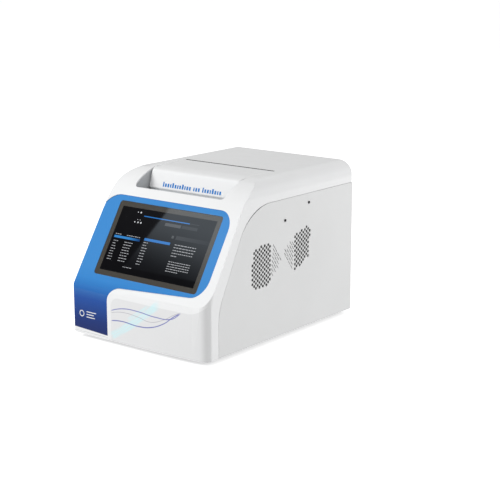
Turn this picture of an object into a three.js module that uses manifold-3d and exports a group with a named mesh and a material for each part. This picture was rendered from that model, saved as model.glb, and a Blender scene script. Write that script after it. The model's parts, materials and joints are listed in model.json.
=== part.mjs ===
// A benchtop fluorescence thermal cycler, built as it comes apart on a bench. Millimetres, +Z up.
// +X is the viewer's right, -Y is the front, and the origin lies on the bench under the middle.
import * as THREE from "three";
import { mergeVertices } from "three/addons/utils/BufferGeometryUtils.js";
import Module from "manifold-3d";

const wasm = await Module();
wasm.setup();

// ---------- driving dimensions ----------
const bodyWidth = 308; // between the flat side faces
const overallDepth = 441; // apex of the bowed front to the rear edge
const bodyHeight = 291; // underside of the casing to its top
const footHeight = 8;
const clearance = 0.3; // between pieces that touch
const seamGap = 0.6; // visible line between two casing pieces

// outer surface
const slopeAngle = 57.85; // degrees, the display slope from the horizontal
const slopeFootHeight = 86.5; // where the slope meets the front, above the underside
const foldRadius = 28;
const topBendRadius = 115;
const topSideRadius = 31;
const frontCornerRadius = 20;
const bandCornerRadius = 5; // front corner on the side of the blue band
const rearCornerRadius = 4;
const bowRadius = 1800; // the front bows back from the middle to the right
const coverWall = 3;

// the front moulding stands a little wider than the sides
const frontWidth = 318;
const flareRun = 33; // distance over which it narrows back to the side face
const flareEndHeight = 255; // height where the wider front has run out
const flareRunOut = 55;

// seam between the moulded cover and the sheet-metal sides
const seamDepth = 39.5; // behind the front apex, where the seam runs vertically
const seamBendHeight = 83;
const seamBendRadius = 100;
const seamAngle = 62.7;
const seamTopHeight = 250.5;
const seamTopRadius = 93;
const sheet = 1.5;

// blue display surround
const surroundRecess = 1;
const surroundThickness = 5;
const surroundWrap = 14; // how far it wraps back at the left edge
const surroundRight = 142;
const surroundTopHeight = 244.6;
const surroundUnderDisplay = 101; // height of its lower edge under the display
const surroundBandRight = -72; // right edge of the band that runs down to the bottom
const surroundBandBottom = 4;
const surroundCornerRadius = 29;
const surroundLowerRightRadius = 33;
const surroundTopLeftRadius = 42;
const surroundInnerRadius = 27;

// display, measured along the slope from its lower reference point
const displayFootDepth = 26.5; // depth behind the front apex of the reference point
const displayFootHeight = 128.6;
const screenWidth = 222.8;
const screenHeight = 124.7;
const screenRise = -8.1; // lower edge of the picture, along the slope
const glassBorder = 9.8;
const glassThickness = 3;
const glassRecess = 1.4;
const glassCornerRadius = 5.5;
const moduleThickness = 7;
const displayBoardThickness = 1.6;

// lid and its well
const lidWidth = 212;
const lidGap = 0.7;
const lidRearDepth = 260; // rear edge of the opening, behind the front apex
const lidBottomHeight = 252;
const lidFrontDepth = 149; // front face at the bottom
const lidBrowDepth = 161; // front face at the top
const lidBrowRadius = 15;
const lidEdgeRadius = 6;
const lidWall = 3;
const recessFrontDepth = 113; // front lip of the finger recess
const recessFloorHeight = 246.5;
const openingCornerRadius = 9;
const deckWall = 2.5;
const hingePinRadius = 2;
const hingeBore = 2.3;

// sample block: 8 rows of 12 wells
const wellPitch = 9;
const wellColumns = 12;
const wellRows = 8;
const wellMouthRadius = 3.2;
const wellTipRadius = 1.3;
const wellDepth = 14.5;
const blockMargin = 4.6; // block edge outside the outer well centres, beyond half a pitch
const blockHeight = 19;
const blockTopHeight = 247;
const blockCentreDepth = 204;
const blockFrameWall = 12;
const peltierSide = 36;
const peltierThickness = 3.8;
const peltierColumns = 3;
const peltierRows = 2;
const sinkBase = 9;
const sinkFinHeight = 40;
const sinkFinThickness = 2;
const sinkFinCount = 15;
const sinkWidth = 150;
const sinkDepth = 100;

// heated plate inside the lid
const plateThickness = 6;
const plateLift = 6.1; // face of the plate above the block
const plateWindowRadius = 2.4;
const springWire = 1.2;
const springRadius = 3.6;
const springTurns = 3;

// fans
const sinkFanSide = 92;
const rearFanSide = 80;
const fanDepth = 25;
const fanWall = 2.5;
const fanBladeGap = 1.2;
const fanBlades = 7;
const rearFanOffset = 52;
const rearFanGap = 3; // under the shelf that carries the optics
const guardWire = 2;

// rear panel and its sockets
const rearPanelInset = 4;
const inletWidth = 48;
const inletHeight = 58;
const inletOffset = -100;
const inletCentreHeight = 62;
const socketWidth = 24;
const socketHeight = 16.5;
const socketDepth = 16;
const drawerWidth = 22;
const drawerHeight = 7;
const drawerTravel = 22;
const switchWidth = 22;
const switchHeight = 15;
const rockerTilt = 9; // degrees either side of level
const usbWidth = 13.2;
const usbHeight = 5.8;
const lanWidth = 16;
const lanHeight = 13.5;
const portShell = 0.6;
const portDepth = 16;
const portOffset = 92;
const portBoardHeight = 22;
const lanSpacing = 32; // between the two data sockets

// optics and electronics
const opticsWidth = 126;
const opticsDepth = 92;
const opticsHeight = 62;
const opticsWall = 3;
const opticsPlace = 0.35625; // share of the spare depth behind the deck that lies in front of the optics
const chassisToFan = 26.2;
const opticsBaseHeight = 205;
const filterWheelRadius = 25;
const filterWheelThickness = 5;
const filterCount = 6;
const filterRadius = 6;
const supplyWidth = 66;
const supplyDepth = 190;
const supplyHeight = 48;
const boardThickness = 1.6;

// side vents: two wings of slanted slots
const ventSlotWidth = 2.6;
const ventPitch = 6.9;
const ventSlant = 26; // degrees from the vertical

// ---------- the object's own frame ----------
const frontY = -overallDepth / 2;
const rearY = overallDepth / 2;
const baseZ = footHeight;
const topZ = footHeight + bodyHeight;
const behind = (depth) => frontY + depth;
const above = (height) => baseZ + height;
const rad = THREE.MathUtils.degToRad;
const far = 600;

const slope = rad(slopeAngle);
const glassWidth = screenWidth + 2 * glassBorder;
const glassHeight = screenHeight + 2 * glassBorder;
const glassRise = screenRise - glassBorder;
const blockX = wellPitch * wellColumns + blockMargin;
const blockY = wellPitch * wellRows + blockMargin;
const blockCentreY = behind(blockCentreDepth);
const blockTopZ = above(blockTopHeight);
const blockBottomZ = blockTopZ - blockHeight;
const hingeY = behind(lidRearDepth) - lidGap - lidEdgeRadius;
const hingeZ = topZ - lidEdgeRadius;
const rearFanHeight = opticsBaseHeight - sheet - rearFanGap - rearFanSide / 2;

// ---------- outlines and solids ----------
const corner = (u, v, r = 0) => ({ u, v, r });

// An outline with rounded corners, as points. Arcs keep within a small sag of the true curve.
function outline(corners, sag = 0.08) {
  const points = [];
  corners.forEach((c, i) => {
    const before = corners[(i + corners.length - 1) % corners.length];
    const after = corners[(i + 1) % corners.length];
    const here = new THREE.Vector2(c.u, c.v);
    const back = new THREE.Vector2(before.u, before.v).sub(here).normalize();
    const on = new THREE.Vector2(after.u, after.v).sub(here).normalize();
    const turn = Math.PI - Math.acos(THREE.MathUtils.clamp(back.dot(on), -1, 1));
    if (c.r <= 0 || turn < 1e-3) {
      points.push(here);
      return;
    }
    const reach = c.r * Math.tan(turn / 2);
    const start = here.clone().addScaledVector(back, reach);
    const towards = back.clone().add(on).normalize();
    const centre = here.clone().addScaledVector(towards, c.r / Math.cos(turn / 2));
    const steps = Math.max(3, Math.ceil(turn / (2 * Math.acos(1 - Math.min(sag / c.r, 0.5)))));
    const side = Math.sign(back.x * on.y - back.y * on.x) * -1;
    for (let k = 0; k <= steps; k += 1) {
      const spoke = start.clone().sub(centre).rotateAround(new THREE.Vector2(), (side * turn * k) / steps);
      points.push(spoke.add(centre));
    }
  });
  return points;
}

// Moves each edge of an anticlockwise outline inwards by its own amount; edge i runs from corner i.
function insetCorners(corners, insets) {
  const n = corners.length;
  const lines = corners.map((c, i) => {
    const d = corners[(i + 1) % n];
    const along = new THREE.Vector2(d.u - c.u, d.v - c.v).normalize();
    const inward = new THREE.Vector2(-along.y, along.x);
    const amount = Array.isArray(insets) ? insets[i] : insets;
    return { from: new THREE.Vector2(c.u, c.v).addScaledVector(inward, amount), along, amount };
  });
  return corners.map((c, i) => {
    const a = lines[(i + n - 1) % n];
    const b = lines[i];
    const cross = a.along.x * b.along.y - a.along.y * b.along.x;
    const gap = b.from.clone().sub(a.from);
    const t = (gap.x * b.along.y - gap.y * b.along.x) / cross;
    const at = a.from.clone().addScaledVector(a.along, t);
    return corner(at.x, at.y, c.r > 0 ? Math.max(c.r - Math.max(a.amount, b.amount), 0.5) : 0);
  });
}

// A closed geometry as a solid that can be joined and cut.
function solid(geometry) {
  const bare = geometry.clone();
  bare.deleteAttribute("normal");
  bare.deleteAttribute("uv");
  const merged = mergeVertices(bare, 1e-4);
  return new wasm.Manifold(
    new wasm.Mesh({
      numProp: 3,
      vertProperties: merged.attributes.position.array,
      triVerts: new Uint32Array(merged.index.array),
    }),
  );
}

function geometryOf(made) {
  const mesh = made.getMesh();
  const geometry = new THREE.BufferGeometry();
  geometry.setAttribute("position", new THREE.BufferAttribute(mesh.vertProperties, 3));
  geometry.setIndex(new THREE.BufferAttribute(mesh.triVerts, 1));
  const flat = geometry.toNonIndexed();
  flat.computeVertexNormals();
  return flat;
}

// Outlines are drawn in (x, y), (y, z) or (z, x) and extruded along the third axis.
const axes = {
  z: new THREE.Matrix4(),
  x: new THREE.Matrix4().set(0, 0, 1, 0, 1, 0, 0, 0, 0, 1, 0, 0, 0, 0, 0, 1),
  y: new THREE.Matrix4().set(0, 1, 0, 0, 0, 0, 1, 0, 1, 0, 0, 0, 0, 0, 0, 1),
};

function prism(points, axis, from, to, holes = []) {
  const shape = new THREE.Shape(points);
  shape.holes = holes.map((hole) => new THREE.Path(hole));
  const geometry = new THREE.ExtrudeGeometry(shape, { depth: to - from, bevelEnabled: false });
  return solid(geometry.translate(0, 0, from).applyMatrix4(axes[axis]));
}

const box = (x0, x1, y0, y1, z0, z1) =>
  solid(
    new THREE.BoxGeometry(x1 - x0, y1 - y0, z1 - z0).translate((x0 + x1) / 2, (y0 + y1) / 2, (z0 + z1) / 2),
  );

const circle = (u, v, r, n = 24) =>
  Array.from({ length: n }, (_, i) => {
    const a = (2 * Math.PI * (i + 0.5)) / n;
    return new THREE.Vector2(u + r * Math.cos(a), v + r * Math.sin(a));
  });

const rectangle = (u, v, width, height, r = 0) =>
  outline([
    corner(u - width / 2, v - height / 2, r),
    corner(u + width / 2, v - height / 2, r),
    corner(u + width / 2, v + height / 2, r),
    corner(u - width / 2, v + height / 2, r),
  ]);

const union = (first, ...others) => others.reduce((sum, next) => sum.add(next), first);
const placed = (made, matrix) => solid(geometryOf(made).applyMatrix4(matrix));

// The slope's own frame: x across, y up the slope, z out of it.
const slopeFrame = new THREE.Matrix4()
  .makeTranslation(0, behind(displayFootDepth), above(displayFootHeight))
  .multiply(new THREE.Matrix4().makeRotationX(slope));
const onSlope = (made) => placed(made, slopeFrame);

// ---------- the outer surface ----------
const slopeTopDepth = (bodyHeight - slopeFootHeight) / Math.tan(slope);
const profile = [
  corner(frontY, baseZ),
  corner(rearY, baseZ),
  corner(rearY, topZ),
  corner(behind(slopeTopDepth), topZ, topBendRadius),
  corner(frontY, above(slopeFootHeight), foldRadius),
];

// Side profile moved inwards; past is how far it runs out through the bottom and the rear.
const profileAt = (inset, past) => outline(insetCorners(profile, [-past, -past, inset, inset, inset]));

function planAt(inset, halfWidth, past) {
  const half = halfWidth - inset;
  const radius = bowRadius - inset;
  const bowSteps = 5;
  const corners = [corner(-half, frontY + inset, Math.max(bandCornerRadius - inset, 0.5))];
  for (let i = 0; i <= bowSteps; i += 1) {
    const x = (half * i) / bowSteps;
    const y = frontY + bowRadius - Math.sqrt(radius * radius - x * x);
    corners.push(corner(x, y, i === bowSteps ? frontCornerRadius - inset : 0));
  }
  corners.push(corner(half, rearY + past, rearCornerRadius));
  corners.push(corner(-half, rearY + past, rearCornerRadius));
  return outline(corners);
}

// Seen from the rear as (z, x), with the rounded upper edges.
const endAt = (inset, halfWidth, past) =>
  outline([
    corner(baseZ - past, -(halfWidth - inset)),
    corner(topZ - inset, -(halfWidth - inset), topSideRadius - inset),
    corner(topZ - inset, halfWidth - inset, topSideRadius - inset),
    corner(baseZ - past, halfWidth - inset),
  ]);

function envelope(inset, halfWidth = bodyWidth / 2, past = 0) {
  return prism(profileAt(inset, past), "x", -far, far)
    .intersect(prism(planAt(inset, halfWidth, past), "z", -far, far))
    .intersect(prism(endAt(inset, halfWidth, past), "y", -far, far));
}

// A band that narrows from the wide front back to the side faces, as (x, distance in front of the seam).
function flareWedge() {
  const past = 60;
  const wide = bodyWidth / 2 + (((frontWidth - bodyWidth) / 2) * past) / flareRun;
  const half = bodyWidth / 2;
  return [
    new THREE.Vector2(-half, 0),
    new THREE.Vector2(-wide, -past),
    new THREE.Vector2(wide, -past),
    new THREE.Vector2(half, 0),
  ];
}

function frontMoulding(inset, grow) {
  const upright = prism(flareWedge(), "z", -far, far).translate([0, behind(seamDepth), 0]);
  const lean = new THREE.Matrix4()
    .makeTranslation(0, behind(seamDepth), above(seamBendHeight))
    .multiply(new THREE.Matrix4().makeRotationX(-rad(90 - seamAngle)));
  const leaning = placed(prism(flareWedge(), "z", -far, far), lean);
  const half = frontWidth / 2;
  const runOut = outline([
    corner(baseZ, -half),
    corner(above(flareEndHeight - flareRunOut), -half, flareRunOut),
    corner(above(flareEndHeight), -bodyWidth / 2),
    corner(above(flareEndHeight), bodyWidth / 2),
    corner(above(flareEndHeight - flareRunOut), half, flareRunOut),
    corner(baseZ, half),
  ]);
  return envelope(inset, frontWidth / 2 + grow)
    .intersect(upright.add(leaning))
    .intersect(prism(runOut, "y", -far, far));
}

// grow gives back at the sides what inset takes off the front.
const outerBody = (inset, grow = 0) => envelope(inset, bodyWidth / 2 + grow).add(frontMoulding(inset, grow));
const cavity = (inset) => envelope(inset, bodyWidth / 2, 40);

// In front of the seam line, seen from the side as (y, z).
function seamRegion(shift) {
  const run = (seamTopHeight - seamBendHeight) / Math.tan(rad(seamAngle));
  return outline([
    corner(behind(seamDepth) - shift, -far),
    corner(behind(seamDepth) - shift, above(seamBendHeight), seamBendRadius),
    corner(behind(seamDepth + run) - shift, above(seamTopHeight) + shift, seamTopRadius),
    corner(far, above(seamTopHeight) + shift),
    corner(far, far),
    corner(-far, far),
    corner(-far, -far),
  ]);
}

// Within a given depth of the front and the slope.
function frontBand(depth) {
  const whole = prism(profileAt(-1, 0), "x", -far, far);
  return whole.subtract(prism(profileAt(depth, 80), "x", -far, far));
}

// The surround as seen from the front, as (z, x).
function surroundOutline(shrink) {
  const left = -frontWidth / 2 - 6;
  return outline(
    insetCorners(
      [
        corner(above(surroundBandBottom), left),
        corner(above(surroundTopHeight), left, surroundTopLeftRadius),
        corner(above(surroundTopHeight), surroundRight, surroundCornerRadius),
        corner(above(surroundUnderDisplay + 7), surroundRight, surroundLowerRightRadius),
        corner(above(surroundUnderDisplay - 5), surroundBandRight, surroundInnerRadius),
        corner(above(surroundBandBottom), surroundBandRight),
      ],
      shrink,
    ),
  );
}

// ---------- assembly ----------
const assembly = new THREE.Group();
const finish = (color, roughness, metalness = 0) => () =>
  new THREE.MeshStandardMaterial({ color, roughness, metalness });
const looks = {
  white: finish("#eceeef", 0.35),
  panel: finish("#dcdedf", 0.45),
  blue: finish("#3f86d2", 0.3),
  glass: finish("#4b4846", 0.12),
  black: finish("#1b1c1e", 0.55),
  deck: finish("#c9cccf", 0.5),
  rubber: finish("#26272a", 0.9),
  aluminium: finish("#b9bcc0", 0.35, 0.9),
  steel: finish("#8f9398", 0.3, 1),
  ceramic: finish("#e9e6dd", 0.6),
  board: finish("#1f5b3a", 0.6),
  brass: finish("#b58f4a", 0.35, 1),
};

function piece(name, made, look, parent = assembly) {
  const mesh = new THREE.Mesh(made.isBufferGeometry ? made : geometryOf(made), looks[look]());
  mesh.name = name;
  parent.add(mesh);
  return mesh;
}

// ---------- moulded cover ----------
const halfLid = lidWidth / 2;

// The lid's opening seen from above: rounded at the front, square where the lid closes it at the rear.
const openingOutline = outline([
  corner(-halfLid - lidGap, behind(recessFrontDepth), openingCornerRadius),
  corner(halfLid + lidGap, behind(recessFrontDepth), openingCornerRadius),
  corner(halfLid + lidGap, behind(lidRearDepth)),
  corner(-halfLid - lidGap, behind(lidRearDepth)),
]);
const lidOpening = prism(openingOutline, "z", above(recessFloorHeight), far);
const surroundWindow = prism(surroundOutline(0), "y", -far, far).intersect(frontBand(surroundWrap));
const wholeSeam = prism(seamRegion(0), "x", -far, far);
piece(
  "outer_cover",
  outerBody(0).subtract(cavity(coverWall)).intersect(wholeSeam).subtract(lidOpening).subtract(surroundWindow),
  "white",
);

// ---------- display ----------
const slopeGroup = new THREE.Group();
slopeGroup.applyMatrix4(slopeFrame);
assembly.add(slopeGroup);
const glassCentre = glassRise + glassHeight / 2;
const glassSeat = glassRecess + glassThickness + clearance;
const glassPocket = onSlope(
  prism(
    rectangle(0, glassCentre, glassWidth + 2 * clearance, glassHeight + 2 * clearance, glassCornerRadius),
    "z",
    -glassSeat,
    30,
  ),
);
const pictureCut = onSlope(
  prism(rectangle(0, glassCentre, screenWidth + 6, screenHeight + 6), "z", -40, 30),
);
piece(
  "display_surround",
  outerBody(surroundRecess, surroundRecess)
    .subtract(cavity(surroundRecess + surroundThickness))
    .intersect(prism(surroundOutline(clearance), "y", -far, far))
    .intersect(frontBand(surroundWrap - clearance))
    .subtract(glassPocket)
    .subtract(pictureCut),
  "blue",
);
piece(
  "touch_glass",
  prism(
    rectangle(0, glassCentre, glassWidth, glassHeight, glassCornerRadius),
    "z",
    -glassRecess - glassThickness,
    -glassRecess,
  ),
  "glass",
  slopeGroup,
);
const moduleFront = -glassSeat - clearance;
piece(
  "lcd_module",
  prism(
    rectangle(0, glassCentre, screenWidth + 4, screenHeight + 4),
    "z",
    moduleFront - moduleThickness,
    moduleFront,
  ),
  "black",
  slopeGroup,
);
piece(
  "display_board",
  prism(
    rectangle(0, glassCentre, screenWidth * 0.55, screenHeight * 0.6, 2),
    "z",
    moduleFront - moduleThickness - clearance - displayBoardThickness,
    moduleFront - moduleThickness - clearance,
  ),
  "board",
  slopeGroup,
);

// ---------- base pan and feet ----------
const panGap = coverWall + seamGap;
const rearOuter = rearY - rearPanelInset;
const rearInner = rearOuter - sheet;
const portZ = above(portBoardHeight);
const boardTopZ = portZ - usbHeight / 2 - clearance;
const mainBoard = { x0: 82, x1: 144, y0: rearInner - 150, y1: rearInner - 3 };
const driverBoard = { x0: -62, x1: 62, y0: frontY + 62, y1: frontY + 132 };
const boardSolid = (b) => box(b.x0, b.x1, b.y0, b.y1, boardTopZ - boardThickness, boardTopZ);
const standoffRadius = 3;

// Four posts under a board, standing on the pan's floor.
function standoffs(b) {
  const inset = 6;
  const top = boardTopZ - boardThickness - clearance;
  return [b.x0 + inset, b.x1 - inset].flatMap((x) =>
    [b.y0 + inset, b.y1 - inset].map((y) =>
      prism(circle(x, y, standoffRadius, 8), "z", baseZ + sheet / 2, top),
    ),
  );
}
const panFlange = surroundBandBottom - 1;
function basePan() {
  const plan = (inset) => planAt(inset, bodyWidth / 2, -rearPanelInset - inset);
  const outside = prism(plan(panGap), "z", baseZ, baseZ + panFlange);
  const inside = prism(plan(panGap + sheet), "z", baseZ + sheet, far);
  let pan = outside.subtract(inside);
  const slotLength = 70;
  const slotPitch = 12;
  for (let i = -3; i <= 3; i += 1) {
    const y = blockCentreY + i * slotPitch;
    pan = pan.subtract(box(-slotLength / 2, slotLength / 2, y - 3, y + 3, 0, baseZ + 5));
  }
  return union(pan, ...standoffs(mainBoard), ...standoffs(driverBoard));
}
piece("base_pan", basePan(), "steel");

const footRadius = 13;
const footInset = 50;
const footX = bodyWidth / 2 - footInset;
const footProfile = [
  new THREE.Vector2(0, 0),
  new THREE.Vector2(footRadius - 2, 0),
  new THREE.Vector2(footRadius, 2),
  new THREE.Vector2(footRadius - 1, footHeight - clearance),
  new THREE.Vector2(0, footHeight - clearance),
];
for (const [side, sx] of [["left", -1], ["right", 1]]) {
  for (const [end, y] of [["front", frontY + footInset], ["rear", rearY - footInset]]) {
    const foot = new THREE.LatheGeometry(footProfile, 20).rotateX(Math.PI / 2);
    piece(`foot_${end}_${side}`, geometryOf(solid(foot)), "rubber").position.set(sx * footX, y, 0);
  }
}

// ---------- sheet-metal sides ----------
// Slots of one vent wing: its outline in (depth, height) cut into slanted slots.
const ventWings = [
  [[184, 178], [142, 174], [134, 163.5], [130, 109], [142, 99.6], [180, 103.7], [217, 142], [197, 174]],
  [[297, 190.5], [258.5, 181], [223, 152], [246, 120], [259, 113.5], [300, 132], [304, 178]],
];
const ventDepths = ventWings.flat().map((p) => p[0]);
const ventMiddle = (Math.min(...ventDepths) + Math.max(...ventDepths)) / 2;

function ventSlots() {
  const lean = Math.tan(rad(ventSlant));
  const strips = [];
  for (let k = -20; k <= 20; k += 1) {
    const c = ventMiddle + (k + 0.5) * ventPitch;
    const low = 90;
    const high = 200;
    const mid = 145;
    const at = (h) => c + (mid - h) * lean;
    strips.push(
      prism(
        [
          new THREE.Vector2(behind(at(low) - ventSlotWidth / 2), above(low)),
          new THREE.Vector2(behind(at(low) + ventSlotWidth / 2), above(low)),
          new THREE.Vector2(behind(at(high) + ventSlotWidth / 2), above(high)),
          new THREE.Vector2(behind(at(high) - ventSlotWidth / 2), above(high)),
        ],
        "x",
        -far,
        far,
      ),
    );
  }
  const wings = ventWings.map((wing) =>
    prism(wing.map(([d, h]) => new THREE.Vector2(behind(d), above(h))), "x", -far, far),
  );
  return union(...wings).intersect(union(...strips));
}
const vents = ventSlots();
const screwSites = [[227, 211], [299, 233]];
const screwRadius = 2.6;

function sidePanel(side) {
  const half = bodyWidth / 2;
  const lip = 9;
  const panelRegion = prism(seamRegion(-seamGap), "x", -far, far);
  const skin = envelope(0).subtract(panelRegion);
  const beyond = (x, y) =>
    side > 0 ? box(x, far, y, far, -far, far) : box(-far, -x, y, far, -far, far);
  const outside = beyond(half - sheet, -far);
  const rearLip = beyond(half - lip, rearY - sheet);
  let panel = skin.intersect(outside.add(rearLip)).subtract(vents);
  for (const [d, h] of screwSites) {
    const hole = circle(behind(d), above(h), screwRadius / 2 + clearance, 10);
    panel = panel.subtract(prism(hole, "x", -far, far));
  }
  return panel;
}
piece("side_panel_left", sidePanel(-1), "panel");
piece("side_panel_right", sidePanel(1), "panel");

const screwProfile = [
  new THREE.Vector2(0, 0),
  new THREE.Vector2(screwRadius / 2, 0),
  new THREE.Vector2(screwRadius / 2, 6),
  new THREE.Vector2(screwRadius, 6),
  new THREE.Vector2(screwRadius * 0.7, 7.2),
  new THREE.Vector2(0, 7.2),
];
for (const [side, sx] of [["left", -1], ["right", 1]]) {
  screwSites.forEach(([d, h], i) => {
    const screw = new THREE.LatheGeometry(screwProfile, 12).rotateZ(-Math.PI / 2);
    const mesh = piece(`side_screw_${side}_${i + 1}`, geometryOf(solid(screw)), "black");
    mesh.rotation.z = sx > 0 ? 0 : Math.PI;
    mesh.position.set(sx * (bodyWidth / 2 + clearance - 6), behind(d), above(h));
  });
}

// ---------- rear panel ----------
const rearFanX = [-rearFanOffset, rearFanOffset];
const guardRadius = rearFanSide / 2 - fanWall;
function rearPanel() {
  const slab = box(-far, far, rearInner, rearOuter, baseZ + sheet + clearance, far);
  let panel = envelope(panGap).intersect(slab);
  for (const x of rearFanX) {
    const hole = circle(above(rearFanHeight), x, guardRadius, 32);
    panel = panel.subtract(prism(hole, "y", -far, far));
  }
  const openings = [
    [inletCentreHeight, inletOffset, inletHeight, inletWidth],
    [portBoardHeight, portOffset, usbHeight, usbWidth],
    [portBoardHeight + (lanHeight - usbHeight) / 2, portOffset + lanSpacing, lanHeight, lanWidth],
  ];
  for (const [height, x, high, wide] of openings) {
    const hole = rectangle(above(height), x, high + 2 * clearance, wide + 2 * clearance);
    panel = panel.subtract(prism(hole, "y", -far, far));
  }
  return panel;
}
piece("rear_panel", rearPanel(), "panel");

// A guard of two rings and four spokes, lying in the (z, x) plane.
function fanGuard(x) {
  const z = above(rearFanHeight);
  const from = rearOuter + clearance;
  const to = from + guardWire;
  const ring = (r) => prism(circle(z, x, r, 22), "y", from, to, [circle(z, x, r - guardWire, 22)]);
  const spoke = prism(rectangle(z, x, guardRadius * 2, guardWire), "y", from, to);
  const cross = prism(rectangle(z, x, guardWire, guardRadius * 2), "y", from, to);
  const rings = [0.36, 0.67, 0.98].map((share) => ring(guardRadius * share + guardWire));
  const tab = rectangle(z, x, rearFanSide - 6, 6).map((p) =>
    p.clone().rotateAround(new THREE.Vector2(z, x), Math.PI / 4),
  );
  const middle = prism(circle(z, x, guardRadius * 0.98, 28), "y", from - 1, to + 1);
  const ears = prism(tab, "y", from, to).subtract(middle);
  return union(...rings, spoke, cross).add(ears);
}
const sides = ["left", "right"];
rearFanX.forEach((x, i) => piece(`fan_guard_${sides[i]}`, fanGuard(x), "steel"));

// A fan along +Z from 0 to its depth: the frame with its struts, and the rotor between.
function fanFrame(side) {
  const bore = side / 2 - fanWall;
  const hub = side * 0.2;
  const body = prism(rectangle(0, 0, side, side, 5), "z", 0, fanDepth, [circle(0, 0, bore, 32)]);
  const plate = prism(circle(0, 0, hub, 20), "z", 0, 3);
  const strut = box(-bore - 1, bore + 1, -2, 2, 0, 3);
  const cross = box(-2, 2, -bore - 1, bore + 1, 0, 3);
  return union(body, plate, strut, cross);
}

function fanRotor(side) {
  const bore = side / 2 - fanWall;
  const hub = side * 0.2;
  const low = 3 + fanBladeGap;
  const high = fanDepth - fanBladeGap;
  let rotor = prism(circle(0, 0, hub, 20), "z", low, high);
  const reach = bore - fanBladeGap - 0.8;
  const chord = high - low - 1;
  for (let i = 0; i < fanBlades; i += 1) {
    const blade = new THREE.BoxGeometry(reach - hub + 2, 1.6, chord)
      .rotateX(rad(38))
      .translate((reach + hub - 2) / 2, 0, (low + high) / 2)
      .rotateZ((2 * Math.PI * i) / fanBlades);
    rotor = rotor.add(solid(blade));
  }
  return rotor.intersect(prism(circle(0, 0, bore - fanBladeGap, 32), "z", low, high));
}

function fan(name, side, placement) {
  const group = new THREE.Group();
  placement(group);
  assembly.add(group);
  piece(`${name}_frame`, fanFrame(side), "black", group);
  piece(`${name}_rotor`, fanRotor(side), "black", group);
}
rearFanX.forEach((x, i) =>
  fan(`exhaust_fan_${sides[i]}`, rearFanSide, (group) => {
    group.rotation.x = -Math.PI / 2;
    group.position.set(x, rearInner - clearance - fanDepth, above(rearFanHeight));
  }),
);

// ---------- mains inlet, fuse drawer and rocker switch ----------
const inletZ = above(inletCentreHeight);
const switchZ = inletZ + inletHeight / 2 - 4 - switchHeight / 2;
const socketZ = inletZ - inletHeight / 2 + 12 + socketHeight / 2;
const drawerZ = inletZ - inletHeight / 2 + 1.5 + drawerHeight / 2;
const rockerAxisY = rearOuter - 2;
const inletDepth = 30;
function inletBody() {
  const face = rearOuter + 1.6;
  const upright = (z, high, wide, r, from, to) =>
    prism(rectangle(z, inletOffset, high, wide, r), "y", from, to);
  const flange = upright(inletZ, inletHeight + 8, inletWidth + 6, 3, rearOuter + clearance, face);
  const block = upright(inletZ, inletHeight, inletWidth, 0, rearOuter - inletDepth, face - 1);
  const socket = upright(socketZ, socketHeight, socketWidth, 2, rearOuter - socketDepth, far);
  const drawerBay = box(
    inletOffset - drawerWidth / 2 - clearance,
    inletOffset + drawerWidth / 2 + clearance,
    rearOuter - drawerTravel - 4,
    far,
    drawerZ - drawerHeight / 2 - clearance,
    drawerZ + drawerHeight / 2 + clearance,
  );
  const rockerBay = box(
    inletOffset - switchWidth / 2 - clearance,
    inletOffset + switchWidth / 2 + clearance,
    rearOuter - 14,
    far,
    switchZ - switchHeight / 2 - clearance,
    switchZ + switchHeight / 2 + clearance,
  );
  let body = union(flange, block).subtract(socket).subtract(drawerBay).subtract(rockerBay);
  for (const [dx, dz] of [[-7, -2], [0, 2.5], [7, -2]]) {
    const x = inletOffset + dx;
    const z = socketZ + dz;
    body = body.add(box(x - 1, x + 1, rearOuter - socketDepth - 1, rearOuter - 3, z - 2, z + 2));
  }
  return body;
}
piece("mains_inlet", inletBody(), "black");
piece(
  "fuse_drawer",
  union(
    box(
      inletOffset - drawerWidth / 2,
      inletOffset + drawerWidth / 2,
      rearOuter - drawerTravel - 3,
      rearOuter + 2,
      drawerZ - drawerHeight / 2,
      drawerZ + drawerHeight / 2,
    ),
    box(inletOffset - 5, inletOffset + 5, rearOuter + 1, rearOuter + 3.4, drawerZ - 1.2, drawerZ + 1.2),
  ),
  "black",
);

// The rocker's ends clear the bay by working in a circle round its axis.
function rocker() {
  const reach = switchHeight / 2 - clearance;
  const section = [
    new THREE.Vector2(-6, -reach * 0.55),
    new THREE.Vector2(3.6, -reach * 0.88),
    new THREE.Vector2(2, 0),
    new THREE.Vector2(3.6, reach * 0.88),
    new THREE.Vector2(-6, reach * 0.55),
  ];
  return prism(section, "x", -switchWidth / 2 + clearance, switchWidth / 2 - clearance);
}
const rockerMesh = piece("power_rocker", rocker(), "black");
rockerMesh.position.set(inletOffset, rockerAxisY, switchZ);
rockerMesh.rotation.x = rad(rockerTilt);

// ---------- data sockets on the main board ----------
function portShellSolid(width, height, z, x) {
  const y0 = rearOuter - portDepth;
  const y1 = rearOuter + 0.8;
  const outer = box(x - width / 2, x + width / 2, y0, y1, z - height / 2, z + height / 2);
  const inner = box(
    x - width / 2 + portShell,
    x + width / 2 - portShell,
    y0 + 2,
    far,
    z - height / 2 + portShell,
    z + height / 2 - portShell,
  );
  return outer.subtract(inner);
}
const lanZ = portZ + (lanHeight - usbHeight) / 2;
piece("usb_port", portShellSolid(usbWidth, usbHeight, portZ, portOffset), "steel");
piece("network_port", portShellSolid(lanWidth, lanHeight, lanZ, portOffset + lanSpacing), "steel");
piece("main_board", boardSolid(mainBoard), "board");
piece("block_driver_board", boardSolid(driverBoard), "board");
const supplyX = -bodyWidth / 2 + panGap + sheet + 3;
piece(
  "power_supply",
  box(
    supplyX,
    supplyX + supplyWidth,
    rearInner - 36 - supplyDepth,
    rearInner - 36,
    baseZ + sheet + clearance,
    baseZ + sheet + clearance + supplyHeight,
  ),
  "steel",
);

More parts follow.
